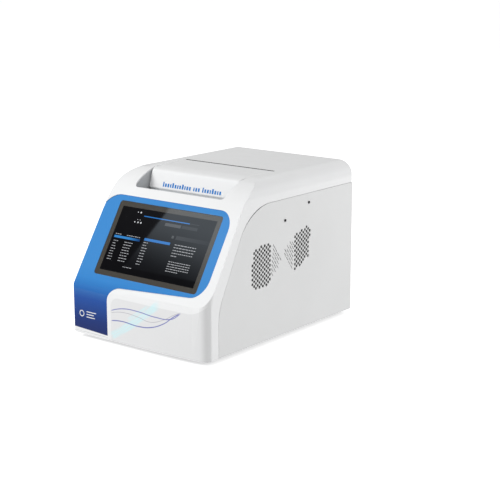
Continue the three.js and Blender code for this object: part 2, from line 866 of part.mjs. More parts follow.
// ---------- deck under the lid ----------
const deckBottomZ = above(recessFloorHeight) - deckWall;
const deckTopZ = above(recessFloorHeight);
const deckHalf = halfLid + lidGap + deckWall;
const deckRearY = behind(lidRearDepth) + deckWall + 1;
function blockDeck() {
  const y0 = behind(recessFrontDepth) - deckWall;
  const y1 = deckRearY;
  const tub = envelope(coverWall + clearance).intersect(box(-deckHalf, deckHalf, y0, y1, deckBottomZ, far));
  const room = prism(openingOutline, "z", deckTopZ, far);
  const well = prism(
    rectangle(0, blockCentreY, blockX + 2 * blockFrameWall + 1, blockY + 2 * blockFrameWall + 1, 4),
    "z",
    -far,
    far,
  );
  const pinHole = prism(circle(hingeY, hingeZ, hingePinRadius + clearance, 12), "x", -far, far);
  return tub.subtract(room).subtract(well).subtract(pinHole);
}
piece("block_deck", blockDeck(), "deck");

// Insulating frame round the sample block, from the heat sink to a little below the block's top.
const frameTopZ = blockTopZ - 1;
const peltierTopZ = blockBottomZ - clearance;
const sinkTopZ = peltierTopZ - peltierThickness - clearance;
piece(
  "block_frame",
  prism(
    rectangle(0, blockCentreY, blockX + 2 * blockFrameWall, blockY + 2 * blockFrameWall, 4),
    "z",
    sinkTopZ + clearance,
    frameTopZ,
    [rectangle(0, blockCentreY, blockX + 2 * clearance, blockY + 2 * clearance)],
  ),
  "black",
);

// ---------- sample block ----------
function eachWell(visit) {
  for (let row = 0; row < wellRows; row += 1) {
    for (let column = 0; column < wellColumns; column += 1) {
      const x = (column - (wellColumns - 1) / 2) * wellPitch;
      const y = blockCentreY + (row - (wellRows - 1) / 2) * wellPitch;
      visit(x, y);
    }
  }
}

function sampleBlock() {
  const tapers = [];
  eachWell((x, y) => {
    const past = 1;
    const grow = ((wellMouthRadius - wellTipRadius) / wellDepth) * past;
    const taper = new THREE.CylinderGeometry(wellMouthRadius + grow, wellTipRadius, wellDepth + past, 6)
      .rotateX(Math.PI / 2)
      .translate(x, y, blockTopZ - wellDepth / 2 + past / 2);
    tapers.push(solid(taper));
  });
  const blank = box(
    -blockX / 2,
    blockX / 2,
    blockCentreY - blockY / 2,
    blockCentreY + blockY / 2,
    blockBottomZ,
    blockTopZ,
  );
  return blank.subtract(union(...tapers));
}
piece("sample_block", sampleBlock(), "aluminium");

const peltierGeometry = new THREE.BoxGeometry(peltierSide, peltierSide, peltierThickness);
for (let i = 0; i < peltierColumns * peltierRows; i += 1) {
  const column = i % peltierColumns;
  const row = Math.floor(i / peltierColumns);
  const x = (column - (peltierColumns - 1) / 2) * (peltierSide + 1.5);
  const y = blockCentreY + (row - (peltierRows - 1) / 2) * (peltierSide + 1.5);
  const peltier = piece(`peltier_${i + 1}`, peltierGeometry.clone(), "ceramic");
  peltier.position.set(x, y, peltierTopZ - peltierThickness / 2);
}

const sinkBottomZ = sinkTopZ - sinkBase - sinkFinHeight;
function heatSink() {
  const y0 = blockCentreY - sinkDepth / 2;
  const y1 = blockCentreY + sinkDepth / 2;
  const base = box(-sinkWidth / 2, sinkWidth / 2, y0, y1, sinkTopZ - sinkBase, sinkTopZ);
  const fins = [];
  for (let i = 0; i < sinkFinCount; i += 1) {
    const x = -sinkWidth / 2 + ((sinkWidth - sinkFinThickness) * i) / (sinkFinCount - 1);
    fins.push(box(x, x + sinkFinThickness, y0, y1, sinkBottomZ, sinkTopZ - sinkBase + 1));
  }
  return union(base, ...fins);
}
piece("heat_sink", heatSink(), "aluminium");
fan("sink_fan", sinkFanSide, (group) => {
  group.position.set(0, blockCentreY, sinkBottomZ - clearance - fanDepth);
});

// ---------- lid ----------
const lid = new THREE.Group();
assembly.add(lid);
const lidBottomZ = above(lidBottomHeight);
function lidProfile(inset) {
  const rear = hingeY + lidEdgeRadius;
  return insetCorners(
    [
      corner(behind(lidFrontDepth), lidBottomZ, 3),
      corner(rear, lidBottomZ, 2),
      corner(rear, topZ, lidEdgeRadius),
      corner(behind(lidBrowDepth), topZ, lidBrowRadius),
    ],
    inset,
  );
}
const linerThickness = 2.5;
const plateX = blockX;
const plateY = blockY;
function lidShell() {
  const outside = prism(outline(lidProfile(0)), "x", -halfLid, halfLid).intersect(envelope(0));
  const inner = outline(insetCorners(lidProfile(lidWall), [-20, 10, 0, 0]));
  const inside = prism(inner, "x", -halfLid + lidWall, halfLid - lidWall).intersect(envelope(lidWall));
  const pinBore = prism(circle(hingeY, hingeZ, hingeBore, 16), "x", -far, far);
  const barrel = prism(circle(hingeY, hingeZ, lidEdgeRadius, 20), "x", -halfLid, halfLid);
  return outside.subtract(inside).add(barrel).subtract(pinBore);
}
piece("lid_shell", lidShell(), "white", lid);

const linerFront = behind(lidFrontDepth) + lidWall + 4;
const linerRear = hingeY + lidEdgeRadius - 10 - lidWall;
const linerWindow = 1;
piece(
  "lid_liner",
  prism(
    rectangle(0, (linerFront + linerRear) / 2, lidWidth - 2 * (lidWall + clearance), linerRear - linerFront),
    "z",
    lidBottomZ,
    lidBottomZ + linerThickness,
    [rectangle(0, blockCentreY, plateX + 2 * linerWindow, plateY + 2 * linerWindow)],
  ),
  "deck",
  lid,
);

const plateZ = blockTopZ + plateLift;
function heatedPlate() {
  const blank = box(
    -plateX / 2,
    plateX / 2,
    blockCentreY - plateY / 2,
    blockCentreY + plateY / 2,
    plateZ,
    plateZ + plateThickness,
  );
  const bores = [];
  eachWell((x, y) => {
    const window = circle(x, y, plateWindowRadius, 5);
    bores.push(prism(window, "z", plateZ - 1, plateZ + plateThickness + 1));
  });
  return blank.subtract(union(...bores));
}
piece("heated_lid_plate", heatedPlate(), "aluminium", lid);

// Springs that press the plate down; coils of round wire.
class Helix extends THREE.Curve {
  constructor(radius, height, turns) {
    super();
    this.radius = radius;
    this.height = height;
    this.turns = turns;
  }
  getPoint(t, target = new THREE.Vector3()) {
    const a = 2 * Math.PI * this.turns * t;
    return target.set(this.radius * Math.cos(a), this.radius * Math.sin(a), this.height * t);
  }
}
const carrierThickness = 3;
const carrierZ = topZ - lidWall - 8;
const springLow = plateZ + plateThickness + clearance + springWire;
const springHeight = carrierZ - clearance - springWire - springLow;
const springGeometry = new THREE.ExtrudeGeometry(new THREE.Shape(circle(0, 0, springWire / 2, 5)), {
  steps: springTurns * 8,
  extrudePath: new Helix(springRadius, springHeight, springTurns),
});
let springNumber = 0;
for (const sx of [-1, 1]) {
  for (const sy of [-1, 1]) {
    springNumber += 1;
    const spring = piece(`plate_spring_${springNumber}`, springGeometry.clone(), "steel", lid);
    spring.position.set(sx * (plateX / 2 - 7), blockCentreY + sy * (plateY / 2 - 7), springLow);
  }
}
piece(
  "plate_carrier",
  box(
    -plateX / 2 - 8,
    plateX / 2 + 8,
    blockCentreY - plateY / 2 - 2,
    blockCentreY + plateY / 2 - 2,
    carrierZ,
    carrierZ + carrierThickness,
  ),
  "steel",
  lid,
);

piece(
  "hinge_pin",
  prism(circle(hingeY, hingeZ, hingePinRadius, 16), "x", -deckHalf - 2, deckHalf + 2),
  "steel",
);
// ---------- optics ----------
const opticsY0 = deckRearY + opticsPlace * (rearInner - deckRearY - opticsDepth);
const opticsY1 = opticsY0 + opticsDepth;
const opticsZ0 = above(opticsBaseHeight);
const opticsZ1 = opticsZ0 + opticsHeight;
const wheelY = opticsY0 + 36;
const wheelZ = opticsZ0 + opticsHeight / 2;
function opticsHousing() {
  const outer = box(-opticsWidth / 2, opticsWidth / 2, opticsY0, opticsY1, opticsZ0, opticsZ1);
  const inner = box(
    -opticsWidth / 2 + opticsWall,
    opticsWidth / 2 - opticsWall,
    opticsY0 + opticsWall,
    opticsY1 - opticsWall,
    opticsZ0 + opticsWall,
    far,
  );
  return outer.subtract(inner);
}
piece("optics_housing", opticsHousing(), "black");
const coverZ = opticsZ1 + clearance;
piece(
  "optics_cover",
  box(-opticsWidth / 2, opticsWidth / 2, opticsY0, opticsY1, coverZ, coverZ + opticsWall),
  "black",
);
const filterOrbit = filterWheelRadius - filterRadius - 3;
function filterWheel() {
  const holes = [];
  for (let i = 0; i < filterCount; i += 1) {
    const a = (2 * Math.PI * i) / filterCount;
    holes.push(circle(filterOrbit * Math.cos(a), filterOrbit * Math.sin(a), filterRadius, 12));
  }
  const disc = prism(circle(0, 0, filterWheelRadius, 36), "y", 0, filterWheelThickness, holes);
  return disc.subtract(prism(circle(0, 0, 2.6, 12), "y", -1, 20));
}
piece("filter_wheel", filterWheel(), "black").position.set(0, wheelY, wheelZ);
const shaftRadius = 2.5;
piece(
  "filter_motor",
  union(
    box(-14, 14, wheelY + 12, wheelY + 40, wheelZ - 14, wheelZ + 14),
    prism(circle(wheelZ, 0, shaftRadius, 12), "y", wheelY - 2, wheelY + 13),
  ),
  "steel",
);
const lampX = filterOrbit;
piece(
  "led_module",
  prism(circle(wheelZ, lampX, 9, 20), "y", opticsY0 + opticsWall + clearance, wheelY - 4),
  "aluminium",
);
piece(
  "detector_module",
  prism(circle(wheelZ, -lampX, 9, 20), "y", opticsY0 + opticsWall + clearance, wheelY - 4),
  "black",
);

const bundleWidth = 60;
const bundleThickness = 6;
piece(
  "fibre_bundle",
  box(
    -bundleWidth / 2,
    bundleWidth / 2,
    blockCentreY + blockY / 2 + blockFrameWall + clearance,
    opticsY0 - clearance,
    wheelZ - bundleThickness / 2,
    wheelZ + bundleThickness / 2,
  ),
  "black",
);

// ---------- chassis ----------
// Two side plates with legs carry the heat sink, the deck and the shelf that the optics stand on.
function chassisFrame() {
  const low = baseZ + sheet + clearance;
  const high = deckBottomZ - clearance;
  const plateFrom = behind(recessFrontDepth) - deckWall;
  const plateTo = rearInner - clearance - fanDepth - chassisToFan;
  const x0 = sinkWidth / 2 + clearance;
  const legWidth = 22;
  const across = (y0, y1, z0, z1) => box(-far, far, y0, y1, z0, z1);
  const window = across(plateFrom + legWidth, plateTo - legWidth, low - 1, sinkBottomZ - fanDepth - 20);
  const airHalf = sinkDepth / 2 - 8;
  const airWay = across(blockCentreY - airHalf, blockCentreY + airHalf, sinkBottomZ, sinkTopZ - sinkBase);
  const lidRoom = box(-far, far, deckRearY + 1, far, opticsZ0 + 20, far);
  const plates = [-1, 1].map((sx) =>
    box(
      Math.min(sx * x0, sx * (x0 + sheet)),
      Math.max(sx * x0, sx * (x0 + sheet)),
      plateFrom,
      plateTo,
      low,
      high,
    )
      .subtract(window)
      .subtract(airWay)
      .subtract(lidRoom),
  );
  const shelfTop = opticsZ0 - clearance;
  const reach = x0 + sheet / 2;
  const shelf = box(-reach, reach, opticsY0 - 10, opticsY1, shelfTop - sheet, shelfTop);
  const tie = box(-reach, reach, plateFrom, plateFrom + sheet, sinkBottomZ - fanDepth, high);
  return union(...plates, shelf, tie);
}
piece("chassis_frame", chassisFrame(), "steel");

export default assembly;
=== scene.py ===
"""The looks of a benchtop thermal cycler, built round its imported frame. Metres, +Z up, front at -Y."""
import json
import math
import random

import bmesh
import bpy
from mathutils import Matrix, Vector

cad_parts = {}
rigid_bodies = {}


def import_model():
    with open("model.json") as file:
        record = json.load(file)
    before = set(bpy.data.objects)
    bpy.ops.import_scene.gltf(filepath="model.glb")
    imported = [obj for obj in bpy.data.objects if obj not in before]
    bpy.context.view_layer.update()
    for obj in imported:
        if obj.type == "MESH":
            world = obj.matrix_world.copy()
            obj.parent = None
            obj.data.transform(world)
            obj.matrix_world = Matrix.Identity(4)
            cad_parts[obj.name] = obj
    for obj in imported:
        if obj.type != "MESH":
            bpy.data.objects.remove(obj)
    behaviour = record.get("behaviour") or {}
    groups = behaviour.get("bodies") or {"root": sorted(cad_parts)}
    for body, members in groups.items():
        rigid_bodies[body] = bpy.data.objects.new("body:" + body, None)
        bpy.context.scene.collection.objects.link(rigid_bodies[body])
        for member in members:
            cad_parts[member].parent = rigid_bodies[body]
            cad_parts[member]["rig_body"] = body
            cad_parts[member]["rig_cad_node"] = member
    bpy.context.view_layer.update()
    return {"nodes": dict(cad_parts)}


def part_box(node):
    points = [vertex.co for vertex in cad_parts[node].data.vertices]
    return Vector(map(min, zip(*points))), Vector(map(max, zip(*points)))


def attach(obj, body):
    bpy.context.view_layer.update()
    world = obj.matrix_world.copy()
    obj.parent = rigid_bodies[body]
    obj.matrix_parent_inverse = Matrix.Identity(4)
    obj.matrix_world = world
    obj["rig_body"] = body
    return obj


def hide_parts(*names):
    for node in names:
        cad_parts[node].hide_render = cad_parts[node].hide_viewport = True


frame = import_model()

MM = 0.001
CASING = "casing"
SIDES = ("left", "right")
random.seed(7)


# ---------------------------------------------------------------- workshop helpers
def deselect():
    bpy.ops.object.select_all(action="DESELECT")


def pick(piece):
    deselect()
    piece.select_set(True)
    bpy.context.view_layer.objects.active = piece


def enter(piece, everything=True):
    """Edit mode on one piece, with all or nothing selected."""
    pick(piece)
    bpy.ops.object.mode_set(mode="EDIT")
    bpy.ops.mesh.select_all(action="SELECT" if everything else "DESELECT")


def leave():
    bpy.ops.object.mode_set(mode="OBJECT")


def apply_place(piece, name):
    pick(piece)
    bpy.ops.object.transform_apply(location=True, rotation=True, scale=True)
    piece.name = name
    piece.data.name = name
    return piece


def block(name, low, high):
    """A box between two corners, as the start of a piece."""
    low, high = Vector(low), Vector(high)
    deselect()
    bpy.ops.mesh.primitive_cube_add(size=1, location=(low + high) / 2)
    piece = bpy.context.active_object
    piece.scale = high - low
    return apply_place(piece, name)


TURN = {"X": (0, math.pi / 2, 0), "Y": (-math.pi / 2, 0, 0), "Z": (0, 0, 0)}


def rod(name, centre, axis, radius, length, sides=32, end_radius=None):
    """A round bar, or a taper when its end radius is given."""
    deselect()
    bpy.ops.mesh.primitive_cone_add(
        vertices=sides,
        radius1=radius,
        radius2=radius if end_radius is None else end_radius,
        depth=length,
        location=centre,
        rotation=TURN[axis],
    )
    return apply_place(bpy.context.active_object, name)


def ring(name, centre, axis, radius, wire, around=48, section=10):
    deselect()
    bpy.ops.mesh.primitive_torus_add(
        major_radius=radius,
        minor_radius=wire,
        major_segments=around,
        minor_segments=section,
        location=centre,
        rotation=TURN[axis],
    )
    return apply_place(bpy.context.active_object, name)


def plate(name, x0, x1, y0, y1, z=0.0):
    """A flat rectangle facing up."""
    deselect()
    bpy.ops.mesh.primitive_plane_add(size=1, location=((x0 + x1) / 2, (y0 + y1) / 2, z))
    piece = bpy.context.active_object
    piece.scale = (x1 - x0, y1 - y0, 1)
    return apply_place(piece, name)


def join(name, pieces):
    pick(pieces[0])
    for piece in pieces:
        piece.select_set(True)
    if len(pieces) > 1:
        bpy.ops.object.join()
    made = bpy.context.active_object
    made.name = name
    made.data.name = name
    return made


def use(piece, kind, **settings):
    """Adds a modifier, sets it and applies it."""
    pick(piece)
    modifier = piece.modifiers.new(kind.lower(), kind)
    for key, value in settings.items():
        setattr(modifier, key, value)
    bpy.ops.object.modifier_apply(modifier=modifier.name)
    return piece


def cut(piece, *cutters):
    for cutter in cutters:
        use(piece, "BOOLEAN", operation="DIFFERENCE", solver="EXACT", object=cutter)
        bpy.data.objects.remove(cutter)
    return piece


def smooth(piece, angle=32):
    pick(piece)
    bpy.ops.object.shade_smooth_by_angle(angle=math.radians(angle))
    return use(piece, "WEIGHTED_NORMAL", weight=60, keep_sharp=True)


def round_edges(piece, width, segments=2, sharp=35):
    """Rounds every edge that turns by more than so many degrees."""
    angle = math.radians(sharp)
    use(piece, "BEVEL", width=width, segments=segments, limit_method="ANGLE", angle_limit=angle)
    return smooth(piece)


def repaint(piece, *materials):
    piece.data.materials.clear()
    for material in materials:
        piece.data.materials.append(material)


def hand_over(piece, body, slot, *materials, instead_of=()):
    """Gives a finished piece its material and its body, and hides the CAD nodes it stands for; the slot it is
    given is not used.
    """
    if materials:
        repaint(piece, *materials)
    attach(piece, body)
    if instead_of:
        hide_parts(*instead_of)
    return piece


def copy_of(node, name):
    """A merged copy of a CAD node's mesh, with its flat faces made whole."""
    piece = frame["nodes"][node].copy()
    piece.data = piece.data.copy()
    piece.parent = None
    piece.name = name
    piece.data.name = name
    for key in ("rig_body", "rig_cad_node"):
        if key in piece:
            del piece[key]
    bpy.context.scene.collection.objects.link(piece)
    enter(piece)
    bpy.ops.mesh.remove_doubles(threshold=0.02 * MM)
    bpy.ops.mesh.dissolve_limited(angle_limit=math.radians(0.6))
    leave()
    return piece


def softened(node, name, width=0.4 * MM, segments=2, sharp=35):
    """A CAD node with its mould or press radii added."""
    return round_edges(copy_of(node, name), width, segments, sharp)


def middle(node):
    low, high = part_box(node)
    return (low + high) / 2


# ---------------------------------------------------------------- shader building
class Recipe:
    """A node tree under construction, for a material or for a shared effect."""

    def __init__(self, tree):
        self.tree = tree

    def add(self, kind, **settings):
        node = self.tree.nodes.new(kind)
        for key, value in settings.items():
            setattr(node, key, value)
        return node

    def feed(self, socket, value):
        """Links an output, or sets a plain value."""
        if isinstance(value, bpy.types.NodeSocket):
            self.tree.links.new(value, socket)
        elif value is not None:
            socket.default_value = value

    def sum(self, operation, a, b=None, c=None, clamp=False):
        node = self.add("ShaderNodeMath", operation=operation, use_clamp=clamp)
        for socket, value in zip(node.inputs, (a, b, c)):
            self.feed(socket, value)
        return node.outputs[0]

    def place(self):
        return self.add("ShaderNodeTexCoord").outputs["Object"]

    def axis(self, name):
        parts = self.add("ShaderNodeSeparateXYZ")
        self.feed(parts.inputs[0], self.place())
        return parts.outputs[name]

    def stretch(self, scale, turn=(0, 0, 0)):
        node = self.add("ShaderNodeMapping")
        self.feed(node.inputs["Vector"], self.place())
        node.inputs["Scale"].default_value = scale
        node.inputs["Rotation"].default_value = turn
        return node.outputs[0]

    def noise(self, scale, detail=3.0, rough=0.55, place=None, distort=0.0):
        node = self.add("ShaderNodeTexNoise")
        self.feed(node.inputs["Vector"], place or self.place())
        self.feed(node.inputs["Scale"], scale)
        node.inputs["Detail"].default_value = detail
        node.inputs["Roughness"].default_value = rough
        node.inputs["Distortion"].default_value = distort
        return node.outputs[0]

    def between(self, value, low, high, out_low=0.0, out_high=1.0):
        node = self.add("ShaderNodeMapRange", interpolation_type="SMOOTHSTEP")
        for socket, given in zip(node.inputs, (value, low, high, out_low, out_high)):
            self.feed(socket, given)
        return node.outputs[0]

    def between_flat(self, value, low, high):
        node = self.add("ShaderNodeMapRange")
        for socket, given in zip(node.inputs, (value, low, high, 0.0, 1.0)):
            self.feed(socket, given)
        return node.outputs[0]

    def blend(self, factor, a, b):
        node = self.add("ShaderNodeMix", data_type="RGBA")
        self.feed(node.inputs[0], factor)
        self.feed(node.inputs[6], a)
        self.feed(node.inputs[7], b)
        return node.outputs[2]

    def ramp(self, value, stops):
        node = self.add("ShaderNodeValToRGB")
        self.feed(node.inputs[0], value)
        while len(node.color_ramp.elements) < len(stops):
            node.color_ramp.elements.new(0.5)
        for element, (at, colour) in zip(node.color_ramp.elements, stops):
            element.position = at
            element.color = colour
        return node.outputs[0]

    def bump(self, height, strength, distance):
        node = self.add("ShaderNodeBump")
        node.inputs["Strength"].default_value = strength
        node.inputs["Distance"].default_value = distance
        self.feed(node.inputs["Height"], height)
        return node.outputs[0]

    def effect(self, group, **values):
        node = self.add("ShaderNodeGroup", node_tree=group)
        for key, value in values.items():
            self.feed(node.inputs[key.replace("_", " ").capitalize()], value)
        return node.outputs


def start_effect(name, inputs, outputs):
    tree = bpy.data.node_groups.new(name, "ShaderNodeTree")
    for label, value in inputs.items():
        socket = tree.interface.new_socket(label, in_out="INPUT", socket_type="NodeSocketFloat")
        socket.default_value = value
    for label in outputs:
        tree.interface.new_socket(label, in_out="OUTPUT", socket_type="NodeSocketFloat")
    recipe = Recipe(tree)
    return recipe, recipe.add("NodeGroupInput").outputs, recipe.add("NodeGroupOutput").inputs


def mould_grain():
    """Fine spark-eroded grain of a mould: a height, and a speckle for the gloss."""
    r, given, out = start_effect("mould grain", {"Size": 2500.0, "Depth": 1.0}, ["Height", "Speckle"])
    fine = r.noise(given["Size"], 2.0, 0.6)
    coarse = r.noise(r.sum("MULTIPLY", given["Size"], 0.23), 2.0, 0.5)
    height = r.sum("ADD", r.sum("MULTIPLY", fine, 0.7), r.sum("MULTIPLY", coarse, 0.3))
    r.feed(out["Height"], r.sum("MULTIPLY", height, given["Depth"]))
    r.feed(out["Speckle"], r.between(fine, 0.35, 0.65))
    return r.tree


def rubbed_and_highlit_edges():
    """Where hands and cloths have polished the corners, and where the edges get a painted highlight."""
    r, given, out = start_effect("rubbed and highlit edges", {"Radius": 1.2 * MM, "Break up": 60.0}, ["Mask"])
    rounded = r.add("ShaderNodeBevel", samples=4)
    r.feed(rounded.inputs["Radius"], given["Radius"])
    flat = r.add("ShaderNodeNewGeometry").outputs["Normal"]
    dot = r.add("ShaderNodeVectorMath", operation="DOT_PRODUCT")
    r.feed(dot.inputs[0], rounded.outputs[0])
    r.feed(dot.inputs[1], flat)
    edge = r.between(dot.outputs["Value"], 0.995, 0.93)
    patchy = r.between(r.noise(given["Break up"], 4.0), 0.3, 0.62)
    r.feed(out["Mask"], r.sum("MULTIPLY", edge, patchy))
    return r.tree


def settled_dust():
    """A thin uneven film on faces that look up."""
    r, given, out = start_effect("settled dust", {"Amount": 0.3, "Size": 35.0}, ["Mask"])
    normal = r.add("ShaderNodeSeparateXYZ")
    r.feed(normal.inputs[0], r.add("ShaderNodeNewGeometry").outputs["Normal"])
    facing = r.between(normal.outputs["Z"], 0.55, 0.98)
    film = r.between(r.noise(given["Size"], 6.0, 0.65), 0.35, 0.8)
    r.feed(out["Mask"], r.sum("MULTIPLY", r.sum("MULTIPLY", facing, film), given["Amount"]))
    return r.tree


def handling():
    """Soft smears and hair scratches, as an uneven gloss."""
    r, given, out = start_effect("handling", {"Smear": 18.0, "Strength": 0.1}, ["Gloss", "Tone"])
    smear = r.noise(given["Smear"], 5.0, 0.6, distort=1.2)
    scratch = r.noise(420.0, 2.0, 0.5, place=r.stretch((0.08, 1.0, 1.0), (0.3, 0.6, 0.9)))
    lines = r.between(scratch, 0.66, 0.74)
    both = r.sum("ADD", r.sum("SUBTRACT", smear, 0.5), r.sum("MULTIPLY", lines, 0.35))
    r.feed(out["Gloss"], r.sum("MULTIPLY", both, given["Strength"]))
    r.feed(out["Tone"], r.noise(r.sum("MULTIPLY", given["Smear"], 0.35), 2.0))
    return r.tree


def brushing():
    """Straight tool or belt marks along X."""
    r, given, out = start_effect("brushing", {"Size": 900.0}, ["Height", "Streak"])
    place = r.stretch((0.03, 1.0, 1.0))
    r.feed(out["Height"], r.noise(given["Size"], 2.0, 0.5, place=place))
    wide = r.noise(r.sum("MULTIPLY", given["Size"], 0.2), 3.0, 0.6, place=place)
    r.feed(out["Streak"], r.between(wide, 0.3, 0.7))
    return r.tree


GRAIN, EDGES, DUST, HANDLING, BRUSHING = mould_grain(), rubbed_and_highlit_edges(), settled_dust(), handling(), brushing()


def new_material(name):
    """A material with its shader, and the recipe that builds it."""
    material = bpy.data.materials.new(name)
    material.use_nodes = True
    material.node_tree.nodes.clear()
    recipe = Recipe(material.node_tree)
    shader = recipe.add("ShaderNodeBsdfPrincipled")
    output = recipe.add("ShaderNodeOutputMaterial")
    recipe.feed(output.inputs["Surface"], shader.outputs[0])
    return material, recipe, shader


def set_input(shader, label, value):
    shader.inputs[label].default_value = value


def tint(colour, factor):
    return (colour[0] * factor, colour[1] * factor, colour[2] * factor, 1.0)


def rgb(r, g, b):
    """A colour given as sRGB steps of 255."""
    return tuple(((c / 255 + 0.055) / 1.055) ** 2.4 if c > 10 else c / 3294 for c in (r, g, b)) + (1.0,)


def finish_moulding(r, shader, colour, rough, grain=2400.0, depth=0.05, edge=0.25, dust=0.25, smear=0.1):
    """The common build of a moulded or painted surface: tone, grain, dust, handling, and rubbed and highlit
    edges, whose lighter colour is a painted highlight.
    """
    marks = r.effect(HANDLING, strength=smear)
    tone = r.blend(r.between(marks["Tone"], 0.3, 0.7), tint(colour, 0.975), tint(colour, 1.0))
    dusty = r.effect(DUST, amount=dust)["Mask"]
    base = r.blend(dusty, tone, tint((0.62, 0.61, 0.58), 1.0))
    rubbed_and_highlit = r.effect(EDGES)["Mask"]
    worn_and_highlit = r.sum("MULTIPLY", rubbed_and_highlit, edge)
    # Painted highlight: the rubbed edges are lightened in colour as well as polished.
    base = r.blend(worn_and_highlit, base, tint(colour, 1.25) if max(colour[:3]) < 0.7 else tint(colour, 1.06))
    surface = r.effect(GRAIN, size=grain)
    gloss = r.sum("ADD", marks["Gloss"], rough)
    gloss = r.sum("ADD", gloss, r.sum("MULTIPLY", dusty, 0.3))
    gloss = r.sum("SUBTRACT", gloss, r.sum("MULTIPLY", worn_and_highlit, 0.15))
    gloss = r.sum("ADD", gloss, r.sum("MULTIPLY", surface["Speckle"], 0.04))
    r.feed(shader.inputs["Base Color"], base)
    r.feed(shader.inputs["Roughness"], gloss)
    r.feed(shader.inputs["Normal"], r.bump(surface["Height"], depth, 0.05 * MM))
    return base


# ---------------------------------------------------------------- finishes
WHITE = (0.83, 0.835, 0.84)
# The strokes printed on the lower front: half width, ink, strength, and the centre line as (across, height)
# in millimetres.
STROKES = [
    (
        0.75 * MM,
        rgb(96, 104, 178),
        0.95,
        [(-61, 65), (-31, 73), (3, 74), (43, 71), (78, 73), (97, 84), (104, 90)],
    ),
    (
        0.4 * MM,
        rgb(150, 146, 160),
        0.8,
        [(-61, 61), (-31, 66), (3, 64), (31, 60), (62, 69), (86, 82), (104, 90)],
    ),
    (
        0.85 * MM,
        rgb(84, 94, 172),
        0.95,
        [(-62, 46), (-36, 49), (2, 47), (31, 50), (62, 62), (86, 79), (104, 89)],
    ),
]
STROKE_SPAN = (-75.0, 110.0)
STROKE_HEIGHTS = (0.0, 120.0)


def stroke(r, x, z, points, width):
    """A printed line that follows the points, as a mask."""
    left, right = STROKE_SPAN
    low, high = STROKE_HEIGHTS
    curve = r.add("ShaderNodeFloatCurve")
    line = curve.mapping.curves[0]
    first, last = points[0], points[-1]
    line.points[0].location = ((first[0] - left) / (right - left), (first[1] - low) / (high - low))
    line.points[1].location = ((last[0] - left) / (right - left), (last[1] - low) / (high - low))
    for across, height in points[1:-1]:
        line.points.new((across - left) / (right - left), (height - low) / (high - low))
    curve.mapping.update()
    r.feed(curve.inputs["Value"], r.between_flat(x, left * MM, right * MM))
    height = r.sum("MULTIPLY", curve.outputs[0], (high - low) * MM)
    off = r.sum("ABSOLUTE", r.sum("SUBTRACT", z, height))
    body = r.between(off, width * 1.6, width * 0.6)
    begins = r.between(x, -63 * MM, -58 * MM)
    thins_out = r.between(x, 102 * MM, 94 * MM)
    return r.sum("MULTIPLY", body, r.sum("MULTIPLY", begins, thins_out))


BRUSH_BOW = 0.7  # how strongly the brushed band bends, per metre


def brushed_band(r, x, z, start, end, half_width, soft):
    """A pale slanted band, drawn with a brush from one point to another in millimetres, as a mask."""
    run, climb = end[0] - start[0], end[1] - start[1]
    length = math.hypot(run, climb)
    from_x = r.sum("SUBTRACT", x, start[0] * MM)
    from_z = r.sum("SUBTRACT", z, start[1] * MM)
    ux, uz = run / length, climb / length
    along = r.sum("ADD", r.sum("MULTIPLY", from_x, ux), r.sum("MULTIPLY", from_z, uz))
    off = r.sum("SUBTRACT", r.sum("MULTIPLY", from_x, uz), r.sum("MULTIPLY", from_z, ux))
    from_middle = r.sum("SUBTRACT", along, length * MM / 2)
    bend = r.sum("MULTIPLY", from_middle, from_middle)
    off = r.sum("ABSOLUTE", r.sum("ADD", off, r.sum("MULTIPLY", bend, BRUSH_BOW)))
    across = r.between(off, (half_width + soft) * MM, (half_width - soft) * MM)
    begins = r.between(along, 0.0, 12 * MM)
    thins_out = r.between(along, length * MM, (length - 22) * MM)
    inside = r.sum("MULTIPLY", begins, thins_out)
    drawn = r.add("ShaderNodeCombineXYZ")
    r.feed(drawn.inputs["X"], r.sum("MULTIPLY", along, 0.05))
    r.feed(drawn.inputs["Y"], off)
    bristles = r.between(r.noise(520.0, 2.0, place=drawn.outputs[0]), 0.38, 0.58, 0.45, 1.0)
    return r.sum("MULTIPLY", r.sum("MULTIPLY", across, inside), bristles)


def painted_lower_shade(r, x, z):
    """Painted shade on the lower front, greyer than the white rim above it, with a rounded upper left corner,
    as a mask.
    """
    left, top, radius = -63 * MM, 89 * MM, 18 * MM
    climb_from, climb_length = 115 * MM, 90 * MM
    across = r.sum("MAXIMUM", r.sum("SUBTRACT", left + radius, x), 0.0)
    # The shaded area's upper edge climbs towards the right corner.
    climb = r.sum("MAXIMUM", r.sum("SUBTRACT", x, climb_from), 0.0)
    rise = r.sum("MULTIPLY", r.sum("MULTIPLY", climb, climb), 1 / climb_length)
    up = r.sum("MAXIMUM", r.sum("SUBTRACT", r.sum("SUBTRACT", z, rise), top - radius), 0.0)
    reach = r.sum("SQRT", r.sum("ADD", r.sum("MULTIPLY", across, across), r.sum("MULTIPLY", up, up)))
    return r.between(reach, radius + 0.8 * MM, radius - 0.8 * MM)


